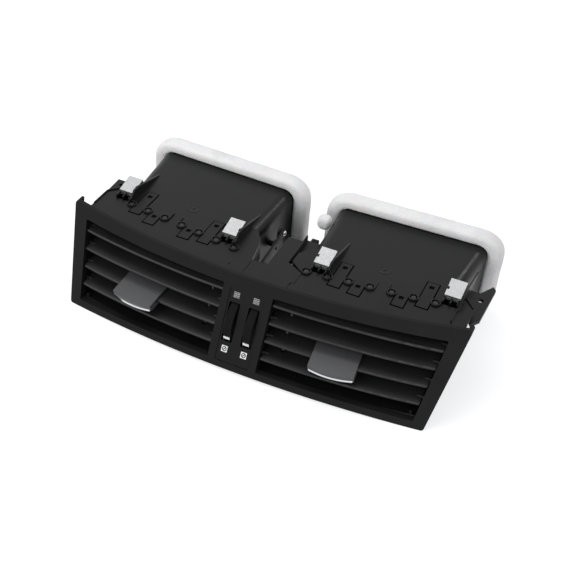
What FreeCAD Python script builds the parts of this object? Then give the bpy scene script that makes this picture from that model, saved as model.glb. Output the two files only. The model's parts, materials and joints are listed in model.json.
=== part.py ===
import FreeCAD
import Part
import math
import os

Vector = FreeCAD.Vector

# Twin centre air vent of a dashboard, in millimetres.
# X runs to the right as the driver sees the face, Y runs rearward into the
# dashboard, and Z is up. The right vent is modelled and the left one mirrors it.

# Face of the bezel
face_lean = 25.0
bow_radius = 1000.0
face_half_top = 175.0
face_half_bottom = 160.5
face_top_middle = 71.5
face_top_rise = 5.2
face_bottom_drop = 2.2
face_corner_radius = 2.5
bezel_wall = 2.8
bezel_return = 7.0
bezel_return_wall = 2.2
tunnel_depth = 5.0
tunnel_wall = 1.6

# Opening of one vent, seen from the front
opening_inner = 21.4
opening_outer_top = 160.0
opening_outer_bottom = 151.2
opening_top = 63.1
opening_top_rise = 3.0
opening_bottom = 5.0
opening_bottom_drop = 1.6
opening_corner_radius = 1.2

# Centre plate with the slots of the two thumbwheels
plate_half_width = 14.8
plate_bottom = 5.0
plate_top = 61.5
plate_recess = 0.5
plate_gap = 0.25
plate_foot = 1.4
plate_foot_reach = 1.6
slot_half_width = 4.8
slot_length = 33.6
slot_corner_radius = 1.0
pocket_half_width = 4.0
pocket_length = 42.0
pocket_depth = 1.3

# Thumbwheels and their axle
wheel_x = 8.6
wheel_radius = 25.0
wheel_width = 6.6
wheel_proud = 4.2
wheel_face_height = 35.8
wheel_edge_radius = 1.1
wheel_web = 3.0
wheel_rim = 4.0
wheel_hub_radius = 5.5
axle_radius = 2.0
axle_head_radius = 3.4
axle_head_length = 0.7
running_gap = 0.05
side_gap = 0.3
groove_count = 4
groove_pitch = 1.2
groove_width = 0.5
groove_depth = 0.35
mark_angle = 33.0
mark_height = 2.6
mark_depth = 1.0
mark_proud = 0.15
mark_half_width = 2.7

# Slats that aim the air up and down
slat_count = 4
slat_first_height = 57.4
slat_pitch = 13.73
slat_recess = 1.3
slat_chord = 21.0
slat_nose = 2.8
slat_tail = 1.5
slat_pivot_back = 10.5
slat_splay = 5.8
slat_inner_gap = 0.9
slat_outer_gap = 1.2
slat_rest_tilt = 12.0
slat_pin_radius = 1.5
slat_arm = 8.0
slat_bar_place = 36.0
slat_bar_wall = 1.6
slat_bar_half = 1.8
slat_bar_pin_radius = 0.8
slat_bar_notch = 3.9
slat_bar_side_gap = 0.7
knob_slat = 2

# Vanes that aim the air left and right
vane_count = 7
vane_line_x = 85.0
vane_line_y = 75.0
vane_pitch = 17.6
vane_splay = 6.9
vane_front = 13.0
vane_rear = 7.0
vane_wall = 2.0
vane_pin_radius = 2.0
vane_foot_radius = 1.5
vane_end_gap = 0.6
vane_arm = 8.0
vane_bar_wall = 1.6
vane_bar_half = 2.4
vane_bar_pin_radius = 1.0
vane_bar_lift = 0.8
yoke_reach = 26.0
yoke_bar_radius = 1.25
yoke_half_height = 13.5
yoke_arm_height = 2.0
yoke_gap = 0.6

# Knob that slides along one slat and turns the vanes
knob_width = 37.5
knob_front_reach = 9.5
knob_front_bulge = 2.4
knob_wall = 1.9
knob_gap = 0.3
knob_nose_gap = 1.3
knob_rest_right = -10.1
knob_rest_left = -4.9
knob_fork_wall = 1.5
knob_fork_reach = 6.5
knob_fork_half_height = 1.3
trim_wall = 0.9
trim_height = 2.2

# Vane carrier, the inner frame that holds slats and vanes
carrier_wall = 1.8
carrier_gap = 0.3
carrier_rear = 87.5
carrier_top = 62.6
carrier_bottom = 4.0

# Duct housing
duct_top = 67.0
duct_bottom = 6.8
duct_wall = 2.0
duct_inner_front = 27.3
duct_outer_front = 145.0
duct_inner_rear = 22.1
duct_outer_rear = 156.0
duct_width_station = 60.0
duct_rear = 164.8
duct_rear_skew = 2.15
duct_corner_radius = 10.0
hood_rear = 100.0
hood_taper_start = 88.0
hood_taper_width = 8.5
hood_bottom = -0.2
hood_wall = 2.0
hood_flange_half = 167.0
hood_flange_end = 92.0
hood_flange_chamfer = 7.0
neck_length = 13.0
neck_inset = 1.6
neck_wall = 1.6

# Features on top of a duct housing
boss_radius = 3.9
boss_height = 0.8
boss_recess_radius = 2.9
boss_recess_depth = 0.5
finger_width = 9.5
finger_height = 0.4
finger_groove = 0.8
finger_groove_depth = 1.2
finger_window = 4.0
finger_long = (62.0, 98.0)
finger_short = (60.0, 77.0)
tower_width = 14.6
tower_fin_wall = 1.8
tower_fin_front = 14.0
tower_fin_rear = 46.0
tower_fin_height = 9.0
tower_front_height = 3.6
tower_rear_height = 7.4
tower_block_length = 15.0
tower_outer = (148.0, 92.0)
tower_inner = (41.5, 80.0)
clip_width = 13.4
clip_wall = 1.6
clip_gap = 0.2
clip_slot = 3.0
clip_slot_depth = 1.6
dot_places = ((136.0, 55.0), (129.0, 54.0), (61.0, 43.0), (54.0, 43.0), (27.0, 49.0))
dot_radius = 0.8
dot_height = 0.5

# Mounting ears
ear_height = 56.0
ear_wall = 3.0
ear_hole_radius = 2.6
ear_hole = (166.5, 112.0)
ear_short_reach = 7.0

# Ledge beside the right housing, under the gap to the wheel carrier
ledge_height = 57.0
ledge_wall = 2.0
ledge_inner = 12.5
ledge_front = 72.0
ledge_rear = 118.0

# Foam
foam_reach = 9.0
foam_side_reach = 12.5
foam_depth = 17.0
foam_edge_radius = 5.0
foam_gap = 0.3
bumper_size = (12.0, 12.0, 13.0)
bumper_place = (148.0, 60.5)
bumper_edge_radius = 3.5

# Air damper and the linkage from its thumbwheel
damper_y = 126.0
damper_half_length = 30.3
damper_wall = 1.8
damper_close_angle = 62.0
damper_side_gap = 1.5
damper_corner_radius = 10.0
damper_shaft_radius = 2.5
damper_hub_radius = 3.6
damper_hub_gap = 1.0
crank_radius = 13.0
crank_rest_angle = 75.0
crank_wall = 2.4
crank_pin_radius = 1.5
crank_eye_radius = 3.4
crank_hub_radius = 4.6
rod_wall = 2.4
rod_half_width = 2.2
rod_layer = 13.0
crank_layer = 16.0

# Wheel carrier between the two vents
web_half_width = 3.2
web_front_gap = 4.0
web_rear = 64.0
web_bottom = 3.0
centre_wall = 2.2
seam_gap = 0.4
centre_left = -12.0
centre_right = 26.6
centre_step_y = 50.4
centre_step_x = 30.0
centre_step_end = 65.0
centre_plate_rear = 105.0
centre_neck_left = 1.0
centre_neck_right = 15.0
centre_cavity_front = 62.0
gusset_wall = 1.4
gusset_drop = 26.0

# Values worked out from the sizes above
lean = math.radians(face_lean)
lean_up = Vector(0, math.sin(lean), math.cos(lean))
lean_in = Vector(0, math.cos(lean), -math.sin(lean))
floor_height = -face_bottom_drop
plan_radius = bow_radius * math.cos(lean)
slat_axis = Vector(math.cos(math.radians(slat_splay)), math.sin(math.radians(slat_splay)), 0)
vane_axis = Vector(math.cos(math.radians(vane_splay)), math.sin(math.radians(vane_splay)), 0)
vane_front_way = Vector(vane_axis.y, -vane_axis.x, 0)
damper_z = (duct_bottom + duct_top) / 2.0
wheel_centre_drop = wheel_radius - wheel_proud
wheel_y = wheel_face_height * math.tan(lean) + wheel_centre_drop * math.cos(lean)
wheel_z = wheel_face_height - wheel_centre_drop * math.sin(lean)
foam_rear = duct_rear + foam_gap + foam_depth
rear_end = foam_rear + duct_outer_rear * math.tan(math.radians(duct_rear_skew))
origin_shift = Vector(0, -rear_end / 2.0, -floor_height)
parts_folder = "parts"


def face_y(x, z):
    """Y of the bezel's front surface at a place seen from the front."""
    return x * x / (2.0 * plan_radius) + z * math.tan(lean)


def box(x0, x1, y0, y1, z0, z1):
    """Box between two corners."""
    return Part.makeBox(x1 - x0, y1 - y0, z1 - z0, Vector(x0, y0, z0))


def rod_x(x0, x1, y, z, radius):
    """Round rod along X."""
    return Part.makeCylinder(radius, x1 - x0, Vector(x0, y, z), Vector(1, 0, 0))


def post(x, y, z0, z1, radius):
    """Round post along Z."""
    return Part.makeCylinder(radius, z1 - z0, Vector(x, y, z0))


def prism(points, direction):
    """Solid made by pushing a closed polygon along a direction."""
    wire = Part.makePolygon(points + [points[0]])
    return Part.Face(wire).extrude(direction)


def plan_prism(points, z0, z1):
    """Upright prism over a polygon given in X and Y."""
    return prism([Vector(x, y, z0) for x, y in points], Vector(0, 0, z1 - z0))


def fuse(shapes):
    """One solid from pieces that overlap."""
    whole = shapes[0].fuse(shapes[1:])
    return whole.removeSplitter()


def mirrored(shape):
    """The same piece for the left vent."""
    return shape.mirror(Vector(0, 0, 0), Vector(1, 0, 0))


def save(shape, name):
    """Write one piece in the part's own frame."""
    piece = shape.copy()
    piece.translate(origin_shift)
    piece.exportStep(os.path.join(parts_folder, name + ".step"))


def bowed_slab(front, rear):
    """Layer of the bowed, leaning face between two depths behind its surface."""
    reach = face_half_top + 15.0
    sag = bow_radius - math.sqrt(bow_radius ** 2 - reach ** 2)
    base = lean_up * -40.0

    def place(x, depth):
        return base + Vector(x, 0, 0) + lean_in * depth

    front_arc = Part.Arc(place(-reach, front + sag), place(0, front), place(reach, front + sag))
    rear_arc = Part.Arc(place(reach, rear + sag), place(0, rear), place(-reach, rear + sag))
    edges = [
        front_arc.toShape(),
        Part.makeLine(place(reach, front + sag), place(reach, rear + sag)),
        rear_arc.toShape(),
        Part.makeLine(place(-reach, rear + sag), place(-reach, front + sag)),
    ]
    return Part.Face(Part.Wire(edges)).extrude(lean_up * 160.0)


def front_outline(inset, top_inset):
    """Prism through the outline of the face, as seen from the front."""
    top = face_top_middle - top_inset
    bottom = inset
    half_top = face_half_top - inset
    half_bottom = face_half_bottom - inset
    top_end = top + face_top_rise
    bottom_end = bottom - face_bottom_drop
    y = -20.0
    edges = [
        Part.Arc(Vector(-half_top, y, top_end), Vector(0, y, top), Vector(half_top, y, top_end)).toShape(),
        Part.makeLine(Vector(half_top, y, top_end), Vector(half_bottom, y, bottom_end)),
        Part.Arc(Vector(half_bottom, y, bottom_end), Vector(0, y, bottom),
                 Vector(-half_bottom, y, bottom_end)).toShape(),
        Part.makeLine(Vector(-half_bottom, y, bottom_end), Vector(-half_top, y, top_end)),
    ]
    solid = Part.Face(Part.Wire(edges)).extrude(Vector(0, 160.0, 0))
    corners = [e for e in solid.Edges if is_along_y(e)]
    return solid.makeFillet(face_corner_radius, corners)


def is_along_y(edge):
    """True for a straight edge that runs along Y."""
    first = edge.Vertexes[0].Point
    last = edge.Vertexes[-1].Point
    way = last - first
    return abs(way.x) < 1e-6 and abs(way.z) < 1e-6 and abs(way.y) > 1e-6


def opening_outer(z):
    """X of the slanted outer side of a vent's opening at a height."""
    share = (z - opening_bottom) / (opening_top - opening_bottom)
    return opening_outer_bottom + (opening_outer_top - opening_outer_bottom) * share


def opening_prism(grow, radius):
    """Prism through the right vent's opening, grown outward on all sides."""
    low = opening_bottom - grow
    high = opening_top + grow
    y = -20.0
    inner_low = Vector(opening_inner - grow, y, low)
    inner_high = Vector(opening_inner - grow, y, high)
    outer_low = Vector(opening_outer(low) + grow, y, low - opening_bottom_drop)
    outer_high = Vector(opening_outer(high) + grow, y, high + opening_top_rise)
    middle = (opening_inner + opening_outer_top) / 2.0
    top_middle = Vector(middle, y, high + opening_top_rise * 0.27)
    bottom_middle = Vector(middle, y, low - opening_bottom_drop * 0.27)
    edges = [
        Part.makeLine(inner_low, inner_high),
        Part.Arc(inner_high, top_middle, outer_high).toShape(),
        Part.makeLine(outer_high, outer_low),
        Part.Arc(outer_low, bottom_middle, inner_low).toShape(),
    ]
    solid = Part.Face(Part.Wire(edges)).extrude(Vector(0, 140.0, 0))
    corners = [e for e in solid.Edges if is_along_y(e)]
    return solid.makeFillet(radius, corners)


def centre_plate_prism(grow):
    """Prism through the centre plate's outline."""
    x = plate_half_width + grow
    solid = box(-x, x, -20.0, 60.0, plate_bottom - grow, plate_top + grow)
    corners = [e for e in solid.Edges if is_along_y(e)]
    return solid.makeFillet(1.5 + grow, corners)


def make_bezel():
    """Bowed front frame with two vent openings and a place for the centre plate."""
    outline = front_outline(0.0, 0.0)
    face = bowed_slab(0.0, bezel_wall).common(outline)
    rim_core = front_outline(bezel_return_wall, -12.0)
    rim = bowed_slab(0.0, bezel_return).common(outline).cut(rim_core)
    pieces = [face, rim]
    for side in (1, -1):
        tunnel = bowed_slab(0.0, tunnel_depth).common(opening_prism(tunnel_wall, opening_corner_radius + tunnel_wall))
        if side < 0:
            tunnel = mirrored(tunnel)
        pieces.append(tunnel)
    body = fuse(pieces)
    hole = opening_prism(0.0, opening_corner_radius)
    body = body.cut(hole).cut(mirrored(hole))
    body = body.cut(centre_plate_prism(plate_gap))
    return body.removeSplitter()


def make_centre_plate():
    """Plate between the vents with one slot for each thumbwheel."""
    foot_depth = bezel_wall + plate_gap
    body = bowed_slab(plate_recess, foot_depth + plate_foot).common(centre_plate_prism(0.0))
    foot = bowed_slab(foot_depth, foot_depth + plate_foot).common(centre_plate_prism(plate_foot_reach))
    for x in (-wheel_x, wheel_x):
        slot = slot_cutter(x, slot_half_width, slot_length, -10.0)
        pocket = slot_cutter(x, pocket_half_width, pocket_length, pocket_depth)
        body = body.cut(slot).cut(pocket)
        foot = foot.cut(slot).cut(pocket)
    return fuse([body, foot])


def slot_cutter(x, half_width, length, front):
    """Block square to the leaning face, at one thumbwheel, from a depth rearward."""
    reach = 22.0
    middle = Vector(x, wheel_face_height * math.tan(lean), wheel_face_height)
    corner = middle - lean_up * (length / 2.0) + lean_in * front - Vector(half_width, 0, 0)
    points = [
        corner,
        corner + Vector(2 * half_width, 0, 0),
        corner + Vector(2 * half_width, 0, 0) + lean_up * length,
        corner + lean_up * length,
    ]
    solid = prism(points, lean_in * reach)
    edges = [e for e in solid.Edges if abs(e.Length - reach) < 0.01]
    return solid.makeFillet(slot_corner_radius, edges)


def make_thumbwheel():
    """Dished wheel with a gripped rim, a hub and the pin that drives the link rod."""
    x0 = wheel_x - wheel_width / 2.0
    x1 = wheel_x + wheel_width / 2.0
    body = rod_x(x0, x1, wheel_y, wheel_z, wheel_radius)
    edges = [e for e in body.Edges if abs(e.Length - 2 * math.pi * wheel_radius) < 0.01]
    body = body.makeFillet(wheel_edge_radius, edges)
    inner = wheel_radius - wheel_rim
    dish = rod_x(x0 - 1.0, wheel_x - wheel_web / 2.0, wheel_y, wheel_z, inner)
    hub = rod_x(x0 - 1.0, wheel_x, wheel_y, wheel_z, wheel_hub_radius)
    body = body.cut(dish.cut(hub))
    body = body.cut(Part.makeCompound([rim_groove(index) for index in range(groove_count)]))
    pin_y, pin_z = crank_place(wheel_y, wheel_z)
    pin = rod_x(x1 - 1.0, rod_layer + rod_wall + 0.2, pin_y, pin_z, crank_pin_radius)
    body = fuse([body, pin])
    body = body.cut(rod_x(x0 - 2.0, x1 + 2.0, wheel_y, wheel_z, axle_radius + running_gap))
    return body.cut(mark_block())


def rim_groove(index):
    """Ring that cuts one groove round a thumbwheel's rim."""
    x0 = wheel_x + (index - (groove_count - 1) / 2.0) * groove_pitch - groove_width / 2.0
    x1 = x0 + groove_width
    ring = rod_x(x0, x1, wheel_y, wheel_z, wheel_radius + 1.0)
    return ring.cut(rod_x(x0 - 1.0, x1 + 1.0, wheel_y, wheel_z, wheel_radius - groove_depth))


def mark_block():
    """Block that the white mark of a thumbwheel fills."""
    angle = math.radians(180.0 - face_lean + mark_angle)
    out = Vector(0, math.cos(angle), math.sin(angle))
    along = Vector(0, -math.sin(angle), math.cos(angle)) * (mark_height / 2.0)
    across = Vector(mark_half_width, 0, 0)
    centre = Vector(wheel_x, wheel_y, wheel_z) + out * (wheel_radius + mark_proud)
    points = [
        centre + along - across,
        centre + along + across,
        centre - along + across,
        centre - along - across,
    ]
    return prism(points, out * -mark_depth)


def crank_place(y, z):
    """Y and Z of a crank's pin at rest, for a crank turning about a point."""
    angle = math.radians(crank_rest_angle)
    return y + crank_radius * math.cos(angle), z + crank_radius * math.sin(angle)


def make_link_rod():
    """Flat rod from the thumbwheel's pin to the pin of the damper's crank."""
    y0, z0 = crank_place(wheel_y, wheel_z)
    y1, z1 = crank_place(damper_y, damper_z)
    way = Vector(0, y1 - y0, z1 - z0)
    way.normalize()
    across = Vector(0, -way.z, way.y) * rod_half_width
    start = Vector(rod_layer, y0, z0)
    end = Vector(rod_layer, y1, z1)
    bar = prism([start + across, end + across, end - across, start - across], Vector(rod_wall, 0, 0))
    eyes = [rod_x(rod_layer, rod_layer + rod_wall, y, z, crank_eye_radius) for y, z in ((y0, z0), (y1, z1))]
    body = fuse([bar] + eyes)
    for y, z in ((y0, z0), (y1, z1)):
        body = body.cut(rod_x(rod_layer - 1.0, rod_layer + rod_wall + 1.0, y, z, crank_pin_radius + running_gap))
    return body


def make_damper_crank():
    """Crank on the damper's shaft, with the pin that the link rod pushes."""
    y1, z1 = crank_place(damper_y, damper_z)
    x0 = crank_layer
    x1 = crank_layer + crank_wall
    way = Vector(0, y1 - damper_y, z1 - damper_z)
    way.normalize()
    across = Vector(0, -way.z, way.y) * (crank_eye_radius * 0.8)
    start = Vector(x0, damper_y, damper_z)
    end = Vector(x0, y1, z1)
    arm = prism([start + across, end + across, end - across, start - across], Vector(crank_wall, 0, 0))
    hub = rod_x(x0, x1 + 2.2, damper_y, damper_z, crank_hub_radius)
    eye = rod_x(x0, x1, y1, z1, crank_eye_radius)
    pin = rod_x(rod_layer - 0.2, x0 + 1.0, y1, z1, crank_pin_radius)
    body = fuse([arm, hub, eye, pin])
    return body.cut(rod_x(x0 - 1.0, x1 + 4.0, damper_y, damper_z, damper_shaft_radius))


def duct_side(y, inner):
    """X of the outer surface of a duct's side wall at a distance behind the face."""
    share = (y - duct_width_station) / (duct_rear - duct_width_station)
    if inner:
        return duct_inner_front + (duct_inner_rear - duct_inner_front) * share
    return duct_outer_front + (duct_outer_rear - duct_outer_front) * share


def make_damper():
    """Flap that closes the duct, with its shaft, at rest closed."""
    length = damper_half_length
    front = damper_y - length
    rear = damper_y + length
    closed_rear = damper_y + length * math.cos(math.radians(damper_close_angle))
    inner_front = duct_side(front, True) + duct_wall + damper_side_gap
    inner_rear = duct_side(closed_rear, True) + duct_wall + damper_side_gap
    outer_front = duct_side(front, False) - duct_wall - damper_side_gap
    outer_rear = duct_side(closed_rear, False) - duct_wall - damper_side_gap
    z0 = damper_z - damper_wall / 2.0
    outline = [(inner_front, front), (outer_front, front), (outer_rear, rear), (inner_rear, rear)]
    flap = plan_prism(outline, z0, z0 + damper_wall)
    corners = [e for e in flap.Edges if abs(e.Length - damper_wall) < 1e-6]
    flap = flap.makeFillet(damper_corner_radius, corners)
    inner_mid = duct_side(damper_y, True)
    outer_mid = duct_side(damper_y, False)
    hub_ends = (inner_mid + duct_wall + damper_hub_gap, outer_mid - duct_wall - damper_hub_gap)
    hub = rod_x(hub_ends[0], hub_ends[1], damper_y, damper_z, damper_hub_radius)
    ribs = []
    for index in (1, 2, 3):
        x = inner_front + (outer_front - inner_front) * index / 4.0
        ribs.append(box(x - 0.8, x + 0.8, front + 8.0, rear - 8.0, z0 - 1.6, z0 + damper_wall + 1.6))
    shaft = rod_x(crank_layer + 0.2, outer_mid - 0.3, damper_y, damper_z, damper_shaft_radius)
    body = fuse([flap, hub, shaft] + ribs)
    body.rotate(Vector(0, damper_y, damper_z), Vector(1, 0, 0), damper_close_angle)
    return body


def slat_height(index):
    """Height of a slat's pivot axis."""
    return slat_first_height - index * slat_pitch


def slat_pivot(index):
    """Point on a slat's axis in front of the vent's middle vane."""
    z = slat_height(index)
    middle = (opening_inner + (opening_outer_top + opening_outer_bottom) / 2.0) / 2.0
    return Vector(middle, face_y(middle, z) + slat_recess + slat_pivot_back, z)


def slat_section(index, front_extra, rear_extra, grow):
    """Closed profile of a slat in the plane X = 0."""
    z = slat_height(index)
    nose_y = face_y(0, z) + slat_recess - front_extra
    tail_y = face_y(0, z) + slat_recess + slat_chord + rear_extra
    nose = slat_nose / 2.0 + grow
    tail = slat_tail / 2.0 + grow
    edges = [
        Part.Arc(Vector(0, nose_y + nose, z - nose), Vector(0, nose_y, z),
                 Vector(0, nose_y + nose, z + nose)).toShape(),
        Part.makeLine(Vector(0, nose_y + nose, z + nose), Vector(0, tail_y, z + tail)),
        Part.makeLine(Vector(0, tail_y, z + tail), Vector(0, tail_y, z - tail)),
        Part.makeLine(Vector(0, tail_y, z - tail), Vector(0, nose_y + nose, z - nose)),
    ]
    return Part.Face(Part.Wire(edges))


def bowed_strip(section, index, x0, x1):
    """Sweep of a slat's section along the bow of the face."""
    centre = Vector(0, face_y(0, slat_height(index)) + plan_radius, slat_height(index))
    first = math.degrees(math.asin(x0 / plan_radius))
    last = math.degrees(math.asin(x1 / plan_radius))
    face = section.copy()
    face.rotate(centre, Vector(0, 0, 1), first)
    return face.revolve(centre, Vector(0, 0, 1), last - first)


def slat_end(index):
    """X of a slat's outer end at its axis."""
    return opening_outer(slat_height(index)) - slat_outer_gap


def make_slat(index):
    """Rounded slat that follows the bow, with end pins and the notch for the tie bar."""
    z = slat_height(index)
    strip = bowed_strip(slat_section(index, 0.0, 0.0, 0.0), index, opening_inner - 5.0, opening_outer_top + 8.0)
    low = z - 5.0
    high = z + 5.0
    trim = prism([
        Vector(opening_inner + slat_inner_gap, 0, low),
        Vector(opening_outer(low) - slat_outer_gap, 0, low),
        Vector(opening_outer(high) - slat_outer_gap, 0, high),
        Vector(opening_inner + slat_inner_gap, 0, high),
    ], Vector(0, 110.0, 0))
    body = strip.common(trim)
    pivot = slat_pivot(index)
    pieces = [body]
    for start, end in slat_pin_spans(index):
        first = pivot + slat_axis * start
        pieces.append(Part.makeCylinder(slat_pin_radius, end - start, first, slat_axis))
    body = fuse(pieces)
    notch, pin = slat_bar_seat(index)
    body = fuse([body.cut(notch), pin])
    body.rotate(pivot, slat_axis, slat_rest_tilt)
    return body


def slat_pin_spans(index):
    """Start and end of both end pins, measured along the slat's axis."""
    pivot = slat_pivot(index)
    inner_end = (opening_inner + slat_inner_gap - pivot.x) / slat_axis.x
    outer_end = (slat_end(index) - pivot.x) / slat_axis.x
    seat = carrier_wall * 0.85
    root = 4.0
    return (
        (inner_end - slat_inner_gap - seat, inner_end + root),
        (outer_end - root, outer_end + slat_outer_gap + seat),
    )


def slat_bar_point(index, tilt):
    """Middle of the tie bar's pin behind a slat's axis, with the slat tilted."""
    pivot = slat_pivot(index)
    along = (slat_bar_place - pivot.x) / slat_axis.x
    back = Vector(-slat_axis.y, slat_axis.x, 0)
    turn = math.radians(tilt)
    arm = back * (slat_arm * math.cos(turn)) + Vector(0, 0, slat_arm * math.sin(turn))
    return pivot + slat_axis * along + arm


def slat_bar_seat(index):
    """Notch for the tie bar in a level slat's rear edge, and the pin that crosses it."""
    point = slat_bar_point(index, 0.0)
    half = slat_bar_wall / 2.0 + slat_bar_side_gap
    back = Vector(-slat_axis.y, slat_axis.x, 0)
    corner = point - slat_axis * half - back * slat_bar_notch - Vector(0, 0, 6.0)
    points = [
        corner,
        corner + slat_axis * (2 * half),
        corner + slat_axis * (2 * half) + back * 12.0,
        corner + back * 12.0,
    ]
    notch = prism(points, Vector(0, 0, 12.0))
    pin = Part.makeCylinder(slat_bar_pin_radius, 2 * half + 2.0, point - slat_axis * (half + 1.0), slat_axis)
    return notch, pin


def make_slat_bar():
    """Strip that ties the slats of one vent together."""
    top = slat_bar_point(0, slat_rest_tilt)
    bottom = slat_bar_point(slat_count - 1, slat_rest_tilt)
    way = top - bottom
    way.normalize()
    across = way.cross(slat_axis)
    across.normalize()
    across = across * slat_bar_half
    start = bottom - slat_axis * (slat_bar_wall / 2.0)
    end = top - slat_axis * (slat_bar_wall / 2.0)
    strip = prism([start + across, end + across, end - across, start - across], slat_axis * slat_bar_wall)
    ends = [Part.makeCylinder(slat_bar_half, slat_bar_wall, point, slat_axis) for point in (start, end)]
    body = fuse([strip] + ends)
    for index in range(slat_count):
        point = slat_bar_point(index, slat_rest_tilt) - slat_axis * 2.0
        body = body.cut(Part.makeCylinder(slat_bar_pin_radius + running_gap, 4.0, point, slat_axis))
    return body


def knob_middle(offset):
    """Point on the knob slat's axis that the knob is centred on."""
    pivot = slat_pivot(knob_slat)
    reach = Vector(vane_line_x, vane_line_y, 0)
    bar = reach + vane_front_way * yoke_reach
    along = Vector(bar.x - pivot.x, bar.y - pivot.y, 0).dot(slat_axis)
    return pivot + slat_axis * (along + offset)


def knob_frame(offset):
    """Placement that takes X along the slat, Y rearward and Z up to the knob's place."""
    turn = FreeCAD.Rotation(Vector(0, 0, 1), slat_splay)
    tilt = FreeCAD.Rotation(Vector(1, 0, 0), slat_rest_tilt)
    return FreeCAD.Placement(knob_middle(offset), turn.multiply(tilt))


def knob_plan(front, bulge, half, rear):
    """Plan outline of the knob with a bulging front edge."""
    edges = [
        Part.Arc(Vector(-half, -front, 0), Vector(0, -front - bulge, 0), Vector(half, -front, 0)).toShape(),
        Part.makeLine(Vector(half, -front, 0), Vector(half, rear, 0)),
        Part.makeLine(Vector(half, rear, 0), Vector(-half, rear, 0)),
        Part.makeLine(Vector(-half, rear, 0), Vector(-half, -front, 0)),
    ]
    return Part.Face(Part.Wire(edges))


def make_knob(offset):
    """Grip that wraps round its slat and drives the middle vane with a fork."""
    half = knob_width / 2.0
    nose = slat_nose / 2.0
    inside = nose + knob_gap
    outside = inside + knob_wall
    front = slat_pivot_back + knob_front_reach
    rear = slat_chord - slat_pivot_back + knob_wall + knob_gap + 0.4
    body = knob_plan(front, knob_front_bulge, half, rear)
    body.translate(Vector(0, 0, -outside))
    body = body.extrude(Vector(0, 0, 2 * outside))
    nose_low = prism([
        Vector(-half - 1, -front - knob_front_bulge - 1, -outside - 1),
        Vector(-half - 1, -front + 6.5, -outside - 1),
        Vector(-half - 1, -front - knob_front_bulge - 1, -outside + 2.6),
    ], Vector(knob_width + 2, 0, 0))
    body = body.cut(nose_low)
    cavity = box(-half - 1, half + 1, -slat_pivot_back - knob_nose_gap, slat_chord - slat_pivot_back + 0.7,
                 -inside, inside)
    body = body.cut(cavity)
    slot = yoke_bar_radius + yoke_gap
    tip = knob_fork_tip()
    prongs = []
    for side in (1, -1):
        x0 = min(side * slot, side * (slot + knob_fork_wall))
        prongs.append(box(x0, x0 + knob_fork_wall, rear - 1.0, tip, -knob_fork_half_height, knob_fork_half_height))
    body = fuse([body] + prongs)
    body = body.cut(trim_solid(0.0))
    body.Placement = knob_frame(offset).multiply(body.Placement)
    return body


def knob_fork_tip():
    """Distance from the slat's axis to the tip of the knob's fork."""
    bar = Vector(vane_line_x, vane_line_y, 0) + vane_front_way * yoke_reach
    pivot = slat_pivot(knob_slat)
    back = Vector(-slat_axis.y, slat_axis.x, 0)
    distance = Vector(bar.x - pivot.x, bar.y - pivot.y, 0).dot(back)
    return distance + knob_fork_reach


def trim_solid(gap):
    """Bright strip along the knob's lower front edge, in the knob's own frame."""
    half = knob_width / 2.0 - 0.8
    front = slat_pivot_back + knob_front_reach
    outside = slat_nose / 2.0 + knob_gap + knob_wall
    z0 = -outside + 1.0
    outer = knob_plan(front + 0.4, knob_front_bulge, half, -front + 4.0)
    inner = knob_plan(front - trim_wall - 0.4, knob_front_bulge, half + 2.0, -front + 8.0)
    ring = outer.extrude(Vector(0, 0, trim_height)).cut(inner.extrude(Vector(0, 0, trim_height)))
    ring.translate(Vector(0, 0, z0))
    keep = box(-half + gap, half - gap, -front - knob_front_bulge - 2.0, -front + 1.2, z0 + gap,
               z0 + trim_height - gap)
    return ring.common(keep)


def make_knob_trim(offset):
    """Chromed strip set in the knob's front."""
    body = trim_solid(0.0)
    body.Placement = knob_frame(offset).multiply(body.Placement)
    return body


def vane_point(index):
    """Pivot of a vane in plan."""
    along = (index - (vane_count - 1) / 2.0) * vane_pitch
    return Vector(vane_line_x, vane_line_y, 0) + vane_axis * along


def make_vane(index, rest_turn):
    """Upright vane with its pivots and the pin for the tie bar."""
    low = carrier_bottom + vane_bar_lift + vane_bar_wall + vane_end_gap
    high = carrier_top - vane_end_gap
    blade = vane_blade(low, high)
    spine = post(0, 0, low, high, vane_pin_radius)
    head = post(0, 0, high - 1.0, duct_top + boss_height, vane_pin_radius)
    foot = post(0, 0, carrier_bottom - carrier_wall * 0.9, low + 1.0, vane_foot_radius)
    bar_pin = post(0, vane_arm, carrier_bottom + vane_bar_lift, low + 1.0, vane_bar_pin_radius)
    tail = box(-vane_bar_pin_radius, vane_bar_pin_radius, 0, vane_arm, low, low + 3.0)
    tail_end = post(0, vane_arm, low, low + 3.0, vane_bar_pin_radius)
    pieces = [blade, spine, head, foot, bar_pin, tail, tail_end]
    if index == (vane_count - 1) // 2:
        pieces.extend(vane_yoke())
    body = fuse(pieces)
    body.rotate(Vector(0, 0, 0), Vector(0, 0, 1), vane_splay + rest_turn)
    body.translate(vane_point(index))
    return body


def vane_blade(low, high):
    """Blade of a vane, thickest at its pivot and thin at both edges."""
    half = vane_wall / 2.0
    edge = half * 0.4
    outline = [
        (-edge, -vane_front),
        (edge, -vane_front),
        (half, 0),
        (edge, vane_rear),
        (-edge, vane_rear),
        (-half, 0),
    ]
    return plan_prism(outline, low, high)


def vane_yoke():
    """Upright bar and its two arms, on the middle vane, for the knob's fork."""
    middle = slat_height(knob_slat)
    low = middle - yoke_half_height
    high = middle + yoke_half_height
    bar = post(0, -yoke_reach, low, high, yoke_bar_radius)
    arms = []
    for z in (low, high - yoke_arm_height):
        arms.append(box(-0.9, 0.9, -yoke_reach, -1.0, z, z + yoke_arm_height))
    return [bar] + arms


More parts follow.
